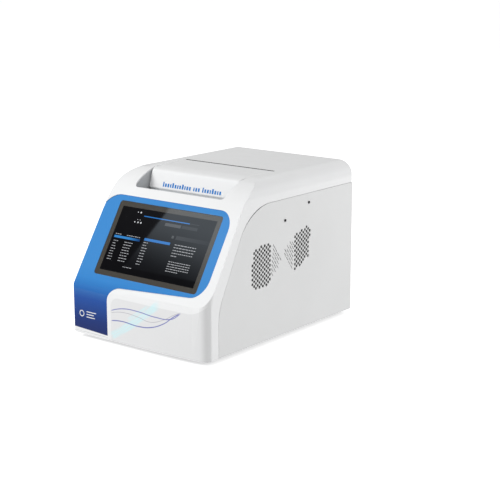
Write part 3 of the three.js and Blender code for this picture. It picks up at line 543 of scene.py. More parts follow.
def white_moulding(name, printed=False):
    """White moulded plastic; the cover's also carries the print of its lower front."""
    material, r, shader = new_material(name)
    set_input(shader, "Coat Weight", 0.25)
    set_input(shader, "Coat Roughness", 0.12)
    base = finish_moulding(r, shader, WHITE, 0.3, grain=2600.0, depth=0.04, edge=0.3, dust=0.12)
    if not printed:
        return material
    parts = r.add("ShaderNodeSeparateXYZ")
    r.feed(parts.inputs[0], r.place())
    x, y, z = parts.outputs["X"], parts.outputs["Y"], parts.outputs["Z"]
    normal = r.add("ShaderNodeSeparateXYZ")
    r.feed(normal.inputs[0], r.add("ShaderNodeNewGeometry").outputs["Normal"])
    front = r.between(normal.outputs["Y"], -0.6, -0.85)
    streak = r.sum(
        "MAXIMUM",
        r.sum("MULTIPLY", brushed_band(r, x, z, (-64, 12), (58, 96), 6.5, 3.0), 0.75),
        r.sum("MULTIPLY", brushed_band(r, x, z, (-24, 52), (34, 92), 3.0, 1.8), 0.6),
    )
    ink_coverage = r.noise(900.0, 2.0)
    # Painted shade: the forward-facing lower front is greyed, standing in for the light it misses.
    panel = r.sum("MULTIPLY", front, painted_lower_shade(r, x, z))
    base = r.blend(panel, base, tint(WHITE, 0.89))
    # Painted shadow: the wall the lid closes against is darkened, as the shaded gap behind the lid.
    painted_gap_shadow = r.sum("MULTIPLY", r.between(y, 34 * MM, 36 * MM), r.between(z, 280 * MM, 284 * MM))
    base = r.blend(r.sum("MULTIPLY", painted_gap_shadow, front), base, tint(WHITE, 0.1))
    colour = r.blend(r.sum("MULTIPLY", streak, front), base, rgb(200, 240, 245))
    for width, ink, strength, points in STROKES:
        mask = r.sum("MULTIPLY", stroke(r, x, z, points, width), front)
        patchy = r.sum("MULTIPLY", mask, r.between(ink_coverage, 0.1, 0.35, strength * 0.85, strength))
        colour = r.blend(patchy, colour, ink)
    r.feed(shader.inputs["Base Color"], colour)
    return material


def side_paint():
    """Textured powder coat on sheet steel."""
    material, r, shader = new_material("side powder coat")
    colour = (0.76, 0.765, 0.765)
    finish_moulding(r, shader, colour, 0.42, grain=1500.0, depth=0.09, edge=0.2, dust=0.15, smear=0.08)
    return material


BAND_RIGHT = -72 * MM  # where the blue band ends on the lower front
LACQUER_FOOT = 15 * MM
LACQUER_FOOT_RISE = 0.045  # per unit of width, to the left of the band's right edge
BLUE_STEPS = [
    (0.0, rgb(8, 30, 92)),
    (0.22, rgb(4, 42, 112)),
    (0.55, rgb(18, 74, 156)),
    (0.85, rgb(58, 130, 198)),
    (1.0, rgb(64, 134, 200)),
]


def blue_lacquer():
    """Blue lacquer that deepens from the slope down to the foot of the band."""
    material, r, shader = new_material("blue lacquer")
    set_input(shader, "Coat Weight", 0.25)
    set_input(shader, "Coat Roughness", 0.08)
    set_input(shader, "Specular IOR Level", 0.05)
    height = r.between_flat(r.axis("Z"), 10 * MM, 130 * MM)
    colour = r.ramp(height, BLUE_STEPS)
    marks = r.effect(HANDLING, strength=0.1)
    flake = r.add("ShaderNodeTexVoronoi")
    r.feed(flake.inputs["Vector"], r.place())
    flake.inputs["Scale"].default_value = 3500.0
    pearl = r.between(flake.outputs["Distance"], 0.0, 0.35, 0.04, 0.0)
    colour = r.blend(pearl, colour, rgb(150, 195, 240))
    # Painted highlight: the edges are lightened towards a pale blue, on top of their wear.
    rubbed_and_highlit = r.sum("MULTIPLY", r.effect(EDGES)["Mask"], 0.3)
    colour = r.blend(rubbed_and_highlit, colour, rgb(150, 190, 230))
    colour = r.blend(r.effect(DUST, amount=0.1)["Mask"], colour, tint((0.6, 0.6, 0.6), 1))
    # The lacquer stops at a line a little above the foot, which rises to the left.
    beyond = r.sum("MAXIMUM", r.sum("SUBTRACT", BAND_RIGHT, r.axis("X")), 0.0)
    above_line = r.sum("SUBTRACT", r.axis("Z"), r.sum("MULTIPLY", beyond, LACQUER_FOOT_RISE))
    bare = r.between(above_line, LACQUER_FOOT + 0.2 * MM, LACQUER_FOOT - 0.2 * MM)
    colour = r.blend(bare, colour, tint(WHITE, 1.0))
    r.feed(shader.inputs["Base Color"], colour)
    r.feed(shader.inputs["Roughness"], r.sum("ADD", marks["Gloss"], 0.3))
    r.feed(shader.inputs["Normal"], r.bump(r.effect(GRAIN, size=900.0)["Height"], 0.03, 0.05 * MM))
    return material


def glass_print():
    """Dark border printed behind polished glass."""
    material, r, shader = new_material("glass border print")
    set_input(shader, "Specular IOR Level", 0.2)
    set_input(shader, "Coat Weight", 1.0)
    set_input(shader, "Coat Roughness", 0.03)
    marks = r.effect(HANDLING, smear=30.0, strength=0.12)
    speck = r.between(r.noise(1800.0, 2.0), 0.3, 0.7)
    r.feed(shader.inputs["Base Color"], r.blend(speck, rgb(66, 63, 58), rgb(72, 69, 64)))
    r.feed(shader.inputs["Roughness"], r.sum("ADD", marks["Gloss"], 0.22))
    r.feed(shader.inputs["Normal"], r.bump(r.noise(9.0, 2.0), 0.02, 0.4 * MM))
    return material


def lit_ink(name, colour, glow, dark_to=None, fade=None, back=rgb(9, 9, 11)):
    """Something drawn on the lit screen: fine rows over a dark ground, under the same glass."""
    material, r, shader = new_material(name)
    set_input(shader, "Coat Weight", 1.0)
    set_input(shader, "Coat Roughness", 0.03)
    set_input(shader, "Emission Strength", glow)
    set_input(shader, "Specular IOR Level", 0.0)
    rows = r.add("ShaderNodeTexWave", wave_type="BANDS", bands_direction="X")
    r.feed(rows.inputs["Vector"], r.place())
    rows.inputs["Scale"].default_value = 1400.0
    shown = r.blend(r.between(rows.outputs[1], 0.0, 1.0, 0.0, 0.12), colour, back)
    if fade:
        low, high = fade
        shown = r.blend(r.between_flat(r.axis("X"), low, high), shown, dark_to)
    marks = r.effect(HANDLING, smear=30.0, strength=0.1)
    r.feed(shader.inputs["Emission Color"], shown)
    r.feed(shader.inputs["Base Color"], r.blend(r.between(r.noise(40.0), 0.3, 0.7), back, tint(back, 1.3)))
    r.feed(shader.inputs["Roughness"], r.sum("ADD", marks["Gloss"], 0.25))
    return material


def moulded(name, colour, rough, grain=1800.0, depth=0.1, dust=0.2, edge=0.35):
    """A moulded or painted surface of one colour."""
    material, r, shader = new_material(name)
    finish_moulding(r, shader, colour, rough, grain, depth, edge, dust, smear=0.12)
    return material


def metal(name, colour, rough, brush=900.0, depth=0.12, spangle=0.0):
    """Machined, brushed or plated metal."""
    material, r, shader = new_material(name)
    set_input(shader, "Metallic", 1.0)
    lines = r.effect(BRUSHING, size=brush)
    marks = r.effect(HANDLING, strength=0.12)
    base = r.blend(lines["Streak"], tint(colour, 0.9), tint(colour, 1.0))
    if spangle:
        crystal = r.add("ShaderNodeTexVoronoi")
        r.feed(crystal.inputs["Vector"], r.place())
        crystal.inputs["Scale"].default_value = 130.0
        shade = r.between(crystal.outputs["Color"], 0.0, 1.0, 1.0 - spangle, 1.0)
        base = r.blend(shade, tint(colour, 0.7), base)
    # Painted highlight: the edges are lightened, on top of their wear.
    base = r.blend(r.sum("MULTIPLY", r.effect(EDGES, radius=0.5 * MM)["Mask"], 0.5), base, tint(colour, 1.15))
    base = r.blend(r.effect(DUST, amount=0.15)["Mask"], base, tint((0.4, 0.39, 0.37), 1.0))
    gloss = r.sum("ADD", r.sum("MULTIPLY", lines["Streak"], 0.1), rough)
    r.feed(shader.inputs["Base Color"], base)
    r.feed(shader.inputs["Roughness"], r.sum("ADD", gloss, marks["Gloss"]))
    r.feed(shader.inputs["Normal"], r.bump(lines["Height"], depth, 0.03 * MM))
    return material


def board_mask():
    """Green solder mask with its tracks faintly proud."""
    material, r, shader = new_material("solder mask")
    tracks = r.add("ShaderNodeTexBrick")
    r.feed(tracks.inputs["Vector"], r.place())
    tracks.inputs["Scale"].default_value = 190.0
    tracks.inputs["Mortar Size"].default_value = 0.012
    line = r.between(tracks.outputs["Fac"], 0.2, 0.8)
    colour = r.blend(line, rgb(18, 84, 50), rgb(34, 112, 66))
    colour = r.blend(r.effect(DUST, amount=0.25)["Mask"], colour, rgb(120, 130, 116))
    r.feed(shader.inputs["Base Color"], colour)
    r.feed(shader.inputs["Roughness"], r.sum("ADD", r.effect(HANDLING)["Gloss"], 0.35))
    r.feed(shader.inputs["Normal"], r.bump(line, 0.2, 0.06 * MM))
    return material


def supply_zinc():
    """Zinc-plated case with rows of round air holes, each painted near black as the shade inside it."""
    material, r, shader = new_material("perforated zinc")
    set_input(shader, "Metallic", 0.9)
    place = r.stretch((170.0, 170.0, 170.0))
    cell = r.add("ShaderNodeVectorMath", operation="FRACTION")
    r.feed(cell.inputs[0], place)
    centred = r.add("ShaderNodeVectorMath", operation="SUBTRACT")
    r.feed(centred.inputs[0], cell.outputs[0])
    centred.inputs[1].default_value = (0.5, 0.5, 0.5)
    parts = r.add("ShaderNodeSeparateXYZ")
    r.feed(parts.inputs[0], centred.outputs[0])
    across = r.sum("MULTIPLY", parts.outputs["X"], parts.outputs["X"])
    along = r.sum("MULTIPLY", parts.outputs["Y"], parts.outputs["Y"])
    hole = r.between(r.sum("SQRT", r.sum("ADD", across, along)), 0.3, 0.26)
    lines = r.effect(BRUSHING, size=500.0)
    zinc = r.blend(lines["Streak"], (0.42, 0.43, 0.44, 1), (0.52, 0.53, 0.54, 1))
    # Painted shade: the holes are not cut; each is coloured near black for the dark inside the case.
    r.feed(shader.inputs["Base Color"], r.blend(hole, zinc, (0.01, 0.01, 0.012, 1)))
    r.feed(shader.inputs["Roughness"], r.between(hole, 0.0, 1.0, 0.38, 0.9))
    r.feed(shader.inputs["Normal"], r.bump(r.sum("SUBTRACT", 1.0, hole), 0.6, 0.3 * MM))
    return material


COVER_WHITE = white_moulding("cover white", printed=True)
LID_WHITE = white_moulding("lid white")
SIDE_PAINT = side_paint()
BLUE = blue_lacquer()
GLASS_BORDER = glass_print()
BLACK = moulded("black moulding", (0.022, 0.023, 0.025), 0.45)
FAN_BLACK = moulded("glass-filled black", (0.016, 0.017, 0.018), 0.55, grain=1200.0, depth=0.2)
DECK_GREY = moulded("deck moulding", (0.55, 0.565, 0.58), 0.45, grain=1500.0)
RUBBER = moulded("foot rubber", (0.02, 0.02, 0.022), 0.82, grain=1100.0, depth=0.3, edge=0.15)
# Black foam for behind the vents; its black stands in for the shade inside the case.
SHADE_FOAM = moulded("vent shade foam", (0.006, 0.006, 0.007), 0.95, grain=700.0, depth=0.6, dust=0.1, edge=0.0)
# A dark powder coat on the base pan, darkened to stand in for the shadow line under the cover.
PAN_SHADOW_COAT = moulded("base pan shadow-dark coat", (0.09, 0.095, 0.1), 0.5, grain=1500.0, depth=0.12)
MARK_WHITE = moulded("printed mark white", (0.78, 0.79, 0.8), 0.4, grain=2200.0, depth=0.05)
MARK_BLUE = moulded("printed mark blue", rgb(44, 122, 196)[:3], 0.4, grain=2200.0, depth=0.04, dust=0.05)
ALUMINIUM = metal("machined aluminium", (0.78, 0.79, 0.81), 0.28)
PLATED = metal("plated sheet steel", (0.62, 0.63, 0.65), 0.34, brush=500.0, spangle=0.35)
WIRE = metal("bright wire", (0.72, 0.72, 0.73), 0.16, brush=1500.0, depth=0.05)
OXIDE = metal("black oxide steel", (0.05, 0.05, 0.054), 0.42, brush=1400.0)
CERAMIC = moulded("fired ceramic", (0.76, 0.75, 0.7), 0.6, grain=2000.0, depth=0.12)
SOLDER_MASK = board_mask()
SUPPLY = supply_zinc()


# ---------------------------------------------------------------- camera
CAMERA_PLACE = Vector((1504.3, -1803.9, 701.4)) * MM
CAMERA_TURN = math.radians(38.308)
CAMERA_PITCH = math.radians(13.373)
CAMERA_LENS, CAMERA_SENSOR = 93.03, 36.0  # millimetres, the camera's own unit


def set_camera():
    deselect()
    bpy.ops.object.camera_add(location=CAMERA_PLACE)
    camera = bpy.context.active_object
    camera.data.lens = CAMERA_LENS
    camera.data.sensor_width = CAMERA_SENSOR
    camera.rotation_euler = (math.pi / 2 - CAMERA_PITCH, 0, CAMERA_TURN)
    camera.data.clip_start = 0.05
    camera.data.clip_end = 50.0
    bpy.context.scene.camera = camera


# ---------------------------------------------------------------- the slope and its screen
SLOPE = math.radians(57.85)
GLASS_THICKNESS = 3 * MM
glass_low, glass_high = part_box("touch_glass")
GLASS_HALF = glass_high.x
GLASS_LENGTH = (glass_high.y - glass_low.y - GLASS_THICKNESS * math.sin(SLOPE)) / math.cos(SLOPE)
GLASS_CORNER = 5.5 * MM
SLOPE_FOOT = Vector((0, glass_low.y, glass_low.z + GLASS_THICKNESS * math.cos(SLOPE)))
# Slope frame: X across, Y up the glass from its lower edge, Z out of its face.
SLOPE_FRAME = Matrix.Translation(SLOPE_FOOT) @ Matrix.Rotation(SLOPE, 4, "X")


def lay_on_slope(piece):
    """Takes a piece drawn in the slope frame to its place on the slope."""
    piece.data.transform(SLOPE_FRAME)
    return piece


def touch_glass():
    """The cover glass: a rounded sheet with a ground edge."""
    sheet = plate("touch_glass_sheet", -GLASS_HALF, GLASS_HALF, 0, GLASS_LENGTH)
    enter(sheet)
    bpy.ops.mesh.bevel(offset=GLASS_CORNER, segments=8, affect="VERTICES")
    bpy.ops.mesh.extrude_region_move(TRANSFORM_OT_translate={"value": (0, 0, -GLASS_THICKNESS)})
    bpy.ops.mesh.select_all(action="SELECT")
    bpy.ops.mesh.normals_make_consistent(inside=False)
    leave()
    lay_on_slope(round_edges(sheet, 0.35 * MM, 3))
    hand_over(sheet, CASING, "touch_glass", GLASS_BORDER, instead_of=["touch_glass"])


# The picture is laid out in millimetres: across from the middle, and up from a line above the glass's foot.
PICTURE_RISE = 17.9
PICTURE_HALF = 111.4
PICTURE_LOW, PICTURE_HIGH = -8.1, 116.6
GROUND_LIFT, BOX_LIFT, LINE_LIFT, INK_LIFT = 0.03, 0.05, 0.06, 0.07  # layers above the glass
ICON_DOTS = [  # (across, up, radius)
    (-64, 109, 1.6),
    (-71, 109, 1.0),
    (-71, 90, 1.3),
    (-63, 90, 1.5),
    (-56, 90, 1.6),
    (-66, 95, 0.7),
    (-60, 95, 0.7),
]


def tiles(name, material, shapes, lift):
    """Thin tiles of one ink on the glass; each shape is (left, right, low, high)."""
    made = []
    for left, right, low, high in shapes:
        foot, head = (low + PICTURE_RISE) * MM, (high + PICTURE_RISE) * MM
        made.append(plate(name, left * MM, right * MM, foot, head, lift * MM))
    hand_over(lay_on_slope(join(name, made)), CASING, "touch_glass", material)


def words(left, right, low, high, gap=1.4):
    """A line of writing as plain dashes of uneven length."""
    made = []
    at = left
    while at < right - 2:
        end = min(at + random.uniform(2.2, 7.0), right)
        made.append((at, end, low, high))
        at = end + gap
    return made


def line_of_words(left, right, middle_height):
    """A line of small writing about a height."""
    return words(left, right, middle_height - 0.6, middle_height + 0.6)


def writing():
    """Two tables on the left, two paragraphs on the right and a short line at the foot."""
    lines = words(-105, -91, 62.0, 63.2) + words(-77, -45, 62.0, 63.2)
    for row in range(8):
        height = 49.4 - 5.1 * row
        lines += line_of_words(-104, -93 - row % 3, height)
        lines += line_of_words(-77, -57 - row % 2, height)
    for row in range(9):
        lines += line_of_words(-33, -21 - row % 2, 55.4 - 5.16 * row)
    for row in range(5):
        last = row == 4
        lines += words(38, 52 if last else 88, 61.0 - 5.2 * row, 62.2 - 5.2 * row)
        lines += words(38, 66 if last else 88, 29.4 - 4.4 * row, 30.6 - 4.4 * row)
    return lines + words(-60, -39, 3.5, 4.6)


def screen_icons():
    dots = []
    for across, up, radius in ICON_DOTS:
        deselect()
        place = (across * MM, (up + PICTURE_RISE) * MM, INK_LIFT * MM)
        bpy.ops.mesh.primitive_circle_add(vertices=16, radius=radius * MM, fill_type="NGON", location=place)
        dots.append(apply_place(bpy.context.active_object, "dot"))
    white = lit_ink("screen bright", rgb(235, 238, 242), 1.0)
    hand_over(lay_on_slope(join("screen_icons", dots)), CASING, "touch_glass", white)


def screen_picture():
    """The lit picture: a dark ground with strips, buttons, headlines, writing and icons."""
    ground = lit_ink("screen ground", rgb(20, 20, 23), 0.35)
    tiles("screen_ground", ground, [(-PICTURE_HALF, PICTURE_HALF, PICTURE_LOW, PICTURE_HIGH)], GROUND_LIFT)
    fade = (35 * MM, 111 * MM)
    strip = lit_ink("screen grey strip", rgb(74, 76, 80), 0.55, dark_to=rgb(30, 31, 34), fade=fade)
    tiles("screen_strips", strip, [(35, PICTURE_HALF, 71, 78)], BOX_LIFT)
    button = lit_ink("screen button", rgb(96, 98, 101), 0.7)
    tiles("screen_buttons", button, [(0, 37, 92.4, 98.2), (25, 30, 72, 77)], BOX_LIFT)
    dim = lit_ink("screen dim button", rgb(58, 60, 63), 0.7)
    tiles("screen_dim_button", dim, [(39.5, 75, 92.4, 98.2), (54, 76, 102.8, 104.2)], BOX_LIFT)
    blue = lit_ink("screen blue", rgb(52, 132, 214), 0.9)
    tiles("screen_headline", blue, [(-54, 54, 102.6, 104.4), (-34, 27, 59, 63.8)], LINE_LIFT)
    fade = (-70 * MM, -43 * MM)
    fading = lit_ink("screen fading blue", rgb(60, 148, 226), 0.9, dark_to=rgb(18, 60, 120), fade=fade)
    tiles("screen_selected_row", fading, [(-106, -43, 55.2, 59.6)], LINE_LIFT)
    tiles("screen_writing", lit_ink("screen writing", rgb(196, 198, 202), 0.9), writing(), INK_LIFT)
    screen_icons()


# ---------------------------------------------------------------- moulded outside
def outer_cover():
    piece = softened("outer_cover", "cover_shell", 0.7 * MM, 3, 33)
    hand_over(piece, CASING, "white_plastic", COVER_WHITE, instead_of=["outer_cover"])


def display_surround():
    piece = softened("display_surround", "display_surround_shell", 0.6 * MM, 3, 33)
    hand_over(piece, CASING, "blue_plastic", BLUE, instead_of=["display_surround"])


def band_emblem():
    """A plain ring and three bars, printed on the blue band."""
    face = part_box("display_surround")[0].y
    bars_from, top_bar, bar_pitch, bar_half = -125 * MM, 51 * MM, 5 * MM, 0.8 * MM
    made = [ring("emblem", (-137 * MM, 0, 46 * MM), "Y", 5.2 * MM, 0.8 * MM, 40, 8)]
    for i, length in enumerate((24 * MM, 18 * MM, 21 * MM)):
        height = top_bar - bar_pitch * i
        low = (bars_from, -bar_half, height - bar_half)
        high = (bars_from + length, bar_half, height + bar_half)
        made.append(block("emblem", low, high))
    mark = join("band_emblem", made)
    # Pressed almost flat on the face of the band.
    mark.data.transform(Matrix.Translation((0, face, 0)) @ Matrix.Diagonal((1, 0.15, 1, 1)))
    hand_over(smooth(mark), CASING, "white_plastic", MARK_WHITE)


LID_LEAN = 12 * MM  # the lid's face leans back by this much over its height
LID_EDGE_TRIM = 1.1 * MM  # taken off the foot of that face by its rounded edge
LID_BROW_RADIUS = 15 * MM
LID_END_RADIUS = 6 * MM
LID_FADE_FROM, LID_FADE_TO = -36 * MM, 26 * MM  # the depths over which the rounding of the ends fades out
LID_REAR_GAP = 0.9 * MM
LID_REAR_RADIUS = 1.8 * MM
# Only the outside of the lid's wall is rounded, not its inside; the foot is thicker than the rest.
LID_SKIN, LID_FOOT_SKIN = 1.4 * MM, 3.4 * MM


def lid_lean():
    low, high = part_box("lid_shell")
    return math.atan2(LID_LEAN, high.z - low.z)


def slice_across(piece, axis, places):
    """Adds rows of edges where a plane meets the piece."""
    for at in places:
        enter(piece)
        point, normal = [0, 0, 0], [0, 0, 0]
        point[axis], normal[axis] = at, 1
        bpy.ops.mesh.bisect(plane_co=point, plane_no=normal, threshold=1e-6)
        leave()


def sagitta(radius, past):
    """How far a round falls away, so far past the place where it begins."""
    past = min(max(past, 0.0), radius)
    return radius - math.sqrt(radius * radius - past * past)


def share_of(value, start, end):
    """How far a value has come from start to end, held between 0 and 1."""
    return min(max((value - start) / (end - start), 0.0), 1.0)


def lid_profile(low, high):
    """Gives, for a point on the lid, the outward direction of its face and the depth under that face."""
    lean = lid_lean()
    facing = Vector((0, -math.cos(lean), math.sin(lean)))
    down = Vector((0, -math.sin(lean), -math.cos(lean)))
    reach = facing.dot(Vector((0, low.y - LID_EDGE_TRIM, low.z)))
    brow_z = high.z - LID_BROW_RADIUS
    brow = Vector((0, (facing.z * brow_z - reach + LID_BROW_RADIUS) / -facing.y, brow_z))

    def outward(point):
        spoke = Vector((0, point.y - brow.y, point.z - brow.z))
        if spoke.y > 0:
            return Vector((0, 0, 1)), high.z - point.z
        if spoke.dot(down) < 0:
            return spoke.normalized(), LID_BROW_RADIUS - spoke.length
        # Towards the foot the direction turns level, so that the foot stays at its height.
        level = facing.copy()
        level.z *= share_of(point.z, low.z + 2 * MM, low.z + 22 * MM)
        return level, reach - facing.dot(Vector((0, point.y, point.z)))

    return outward


def lid_shell():
    """The lid, with the sides of its face rounded; the rounding fades out towards the hinge."""
    low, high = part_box("lid_shell")
    piece = softened("lid_shell", "lid_cover", 0.7 * MM, 2, 40)
    rear = high.y - LID_REAR_GAP
    for vertex in piece.data.vertices:
        vertex.co.y = min(vertex.co.y, rear)
    for share in (1.0, 0.8, 0.6, 0.42, 0.26, 0.13, 0.05):
        inset = LID_END_RADIUS * share
        slice_across(piece, 0, (inset - high.x, high.x - inset))
    slice_across(piece, 1, [rear - LID_REAR_RADIUS * share for share in (1.0, 0.6, 0.3, 0.1)])
    slice_across(piece, 1, [LID_FADE_FROM + (LID_FADE_TO - LID_FADE_FROM) * i / 6 for i in range(7)])
    outward = lid_profile(low, high)
    for vertex in piece.data.vertices:
        out, depth = outward(vertex.co)
        at_foot = vertex.co.z < low.z + 4 * MM and vertex.co.y < low.y + 3 * MM
        if depth > (LID_FOOT_SKIN if at_foot else LID_SKIN):
            continue
        fade = 1 - share_of(vertex.co.y, LID_FADE_FROM, LID_FADE_TO)
        fall = sagitta(LID_END_RADIUS, abs(vertex.co.x) - (high.x - LID_END_RADIUS))
        rear_fall = sagitta(LID_REAR_RADIUS, vertex.co.y - (rear - LID_REAR_RADIUS))
        vertex.co -= out * (fall * fade * fade * (3 - 2 * fade) + rear_fall)
    smooth(piece, 40)
    hand_over(piece, "lid", "white_plastic", LID_WHITE, instead_of=["lid_shell"])


def lid_seal():
    """A pale lip under the lid's front that closes the gap over the deck."""
    low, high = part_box("lid_shell")
    deck_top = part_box("block_frame")[1].z + 0.5 * MM
    inset = 4 * MM
    lip_low = (low.x + inset, low.y + 2.2 * MM, deck_top + 0.8 * MM)
    lip_high = (high.x - inset, low.y + 5.5 * MM, low.z + 0.6 * MM)
    lip = block("lid_seal_lip", lip_low, lip_high)
    enter(lip)
    bpy.ops.mesh.subdivide(number_cuts=3)
    leave()
    hand_over(round_edges(lip, 0.8 * MM, 3), "lid", "deck_plastic", DECK_GREY)


# The bars on the lid's face, in millimetres.
BARS_FROM = -70.0
BAR_GAP = 2.2
GROUP_GAP = 4.0
BARS_FOOT = 6.0


def lid_marks():
    """Three groups of plain bars along the lid's face, like a printed line."""
    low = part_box("lid_shell")[0]
    made = []
    at = BARS_FROM
    for count in (12, 3, 8):
        for i in range(count):
            tall = 9.0 if (i * 7 + count) % 4 == 0 else 6.6
            width = 3.9 if i % 3 else 2.9
            top = BARS_FOOT + tall
            bar = block("bar", (at * MM, -0.1 * MM, BARS_FOOT * MM), ((at + width) * MM, 0.05 * MM, top * MM))
            made.append(bar)
            at += width + BAR_GAP
        at += GROUP_GAP
    marks = join("lid_print", made)
    foot = Matrix.Translation((0, low.y - LID_EDGE_TRIM, low.z))
    marks.data.transform(foot @ Matrix.Rotation(-lid_lean(), 4, "X"))
    hand_over(marks, "lid", "white_plastic", MARK_BLUE)


# ---------------------------------------------------------------- perforated sides
SEAM_ANGLE = math.radians(62.7)
SEAM_BEND_RADIUS = 100 * MM
SEAM_TOP_RADIUS = 93 * MM
SEAM_BEND_HEIGHT = 91 * MM
SHEET = 1.5 * MM
REAR_RETURN = 7.5 * MM
SCREW_BORE_RADIUS = 1.7 * MM
# The vents, in millimetres: a staggered grid of holes, and lines of short slits near the neck.
HOLE_START_Y, HOLE_START_Z = 2.6, 0.6
HOLE_PITCH_Y, HOLE_PITCH_Z = 5.0, 8.5
HOLE_RADIUS = 2.85 * MM
SLIT_SLANT = math.radians(54.5)
SLIT_PITCH = 10.6
SLIT_LENGTH = 9.2
SLIT_LINE_GAP = 4.8
SLIT_HALF_WIDTH = 0.8 * MM
SLIT_START = Vector((0, 150))
NECK = (-36.0, 37.5)  # the depths between which there are no holes
SLIT_SPAN = (-31.6, 31.9)  # the depths between which the slits lie
# Outlines of the two wings of vents as (depth, height), depth from the middle of the instrument.
FRONT_WING = [
    (-36.5, 186),
    (-78.5, 182),
    (-86.5, 171.5),
    (-90.5, 117),
    (-78.5, 107.6),
    (-40.5, 111.7),
    (-3.5, 150),
    (-23.5, 182),
]
REAR_WING = [
    (76.5, 198.5),
    (38, 189),
    (2.5, 160),
    (25.5, 128),
    (38.5, 121.5),
    (79.5, 140),
    (83.5, 186),
]
FOAM_SPAN = ((-94, 101), (88, 204))  # (depth, height) of the foam's lower front and upper rear corners


def inside(point, outline):
    """Whether a point lies within a closed outline."""
    x, y = point
    hit = False
    for (x0, y0), (x1, y1) in zip(outline, outline[1:] + outline[:1]):
        if (y0 > y) != (y1 > y) and x < (x1 - x0) * (y - y0) / (y1 - y0) + x0:
            hit = not hit
    return hit


def in_wing(y, z):
    return inside((y, z), FRONT_WING if y < 0 else REAR_WING)


def hole_places():
    """Round holes on a staggered grid, outside the neck."""
    for column in range(-22, 22):
        y = HOLE_START_Y + HOLE_PITCH_Y * column
        shift = HOLE_PITCH_Z / 2 if column % 2 else 0
        for row in range(8, 26):
            z = HOLE_START_Z + HOLE_PITCH_Z * row + shift
            if not NECK[0] < y < NECK[1] and in_wing(y, z):
                yield y, z


def slit_places():
    """Fine slanted slits in staggered lines, within the neck."""
    along = Vector((math.cos(SLIT_SLANT), -math.sin(SLIT_SLANT)))
    across = Vector((math.sin(SLIT_SLANT), math.cos(SLIT_SLANT)))
    for line in range(-20, 20):
        shift = SLIT_PITCH / 2 if line % 2 else 0
        for step in range(-16, 16):
            y, z = SLIT_START + along * (SLIT_PITCH * step + shift) + across * (SLIT_LINE_GAP * line)
            if SLIT_SPAN[0] < y < SLIT_SPAN[1] and in_wing(y, z):
                yield y, z


def vent_cutters(x):
    """All the holes and slits of one side, as one tool."""
    made = [rod("hole", (x, y * MM, z * MM), "X", HOLE_RADIUS, 12 * MM, 14) for y, z in hole_places()]
    half = SLIT_LENGTH / 2 * MM
    for y, z in slit_places():
        slit = block("slit", (-6 * MM, -half, -SLIT_HALF_WIDTH), (6 * MM, half, SLIT_HALF_WIDTH))
        slit.data.transform(Matrix.Translation((x, y * MM, z * MM)) @ Matrix.Rotation(-SLIT_SLANT, 4, "X"))
        made.append(slit)
    return join("vents", made)


def outer_face(node, sign):
    """The side plane of a node that faces away from the middle of the instrument."""
    low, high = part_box(node)
    return high.x if sign > 0 else low.x


def sign_of(side):
    return -1 if side == "left" else 1


def side_panel(side):
    """A pressed side with a rear return, its seam bent to the cover's line, punched with the vents."""
    sign = sign_of(side)
    low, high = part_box(f"side_panel_{side}")
    outer = outer_face(f"side_panel_{side}", sign)
    inner = outer - sign * SHEET
    sheet_piece = plate("side", low.y, high.y, low.z, high.z)
    enter(sheet_piece)
    top_front = Vector((low.y, SEAM_BEND_HEIGHT, 0))
    lean = Vector((math.cos(SEAM_ANGLE), math.sin(SEAM_ANGLE), 0))
    across_lean = (-lean.y, lean.x, 0)
    bpy.ops.mesh.bisect(plane_co=top_front, plane_no=across_lean, clear_outer=True, threshold=1e-6)
    leave()
    run = (high.z - SEAM_BEND_HEIGHT) / math.tan(SEAM_ANGLE)
    bends = [
        (top_front, SEAM_BEND_RADIUS, math.pi / 2 - SEAM_ANGLE),
        (Vector((low.y + run, high.z, 0)), SEAM_TOP_RADIUS, SEAM_ANGLE),
    ]
    for corner, radius, turn in bends:
        enter(sheet_piece, False)
        shape = bmesh.from_edit_mesh(sheet_piece.data)
        for vertex in shape.verts:
            vertex.select = (vertex.co - corner).length < 0.5 * MM
        shape.select_flush_mode()
        bmesh.update_edit_mesh(sheet_piece.data)
        bpy.ops.mesh.bevel(offset=radius * math.tan(turn / 2), segments=14, affect="VERTICES")
        leave()
    # From (depth, height) on the flat to the upright side.
    upright = Matrix(((0, 0, 1, outer), (1, 0, 0, 0), (0, 1, 0, 0), (0, 0, 0, 1)))
    sheet_piece.data.transform(upright)
    enter(sheet_piece)
    bpy.ops.mesh.extrude_region_move(TRANSFORM_OT_translate={"value": (inner - outer, 0, 0)})
    bpy.ops.mesh.select_all(action="SELECT")
    bpy.ops.mesh.normals_make_consistent(inside=False)
    leave()
    cutters = [vent_cutters((outer + inner) / 2)]
    for i in (1, 2):
        cutters.append(rod("bore", middle(f"side_screw_{side}_{i}"), "X", SCREW_BORE_RADIUS, 20 * MM, 20))
    cut(sheet_piece, *cutters)
    lip_from, lip_to = sorted((inner - sign * REAR_RETURN, inner))
    lip = block("lip", (lip_from, high.y - SHEET, low.z), (lip_to, high.y, high.z))
    panel = join(f"side_cover_{side}", [sheet_piece, lip])
    round_edges(panel, 0.22 * MM, 2)
    hand_over(panel, CASING, "side_paint", SIDE_PAINT, instead_of=[f"side_panel_{side}"])


def vent_shade_foam(side):
    """A sheet of black foam behind the vents, a dust filter whose black also stands in for the shade inside
    the case.
    """
    sign = sign_of(side)
    face = outer_face(f"side_panel_{side}", sign) - sign * (SHEET + 0.3 * MM)
    near, far = sorted((face, face - sign * 1.2 * MM))
    (y0, z0), (y1, z1) = FOAM_SPAN
    foam = block(f"vent_shade_foam_{side}", (near, y0 * MM, z0 * MM), (far, y1 * MM, z1 * MM))
    hand_over(round_edges(foam, 0.3 * MM), CASING, "foot_rubber", SHADE_FOAM)


SCREW_HEAD_RADIUS, SCREW_HEAD_HEIGHT = 2.6 * MM, 1.2 * MM
SCREW_SHANK_RADIUS = 1.25 * MM
RECESS_REACH, RECESS_HALF, RECESS_DEPTH = 1.5 * MM, 0.35 * MM, 0.8 * MM


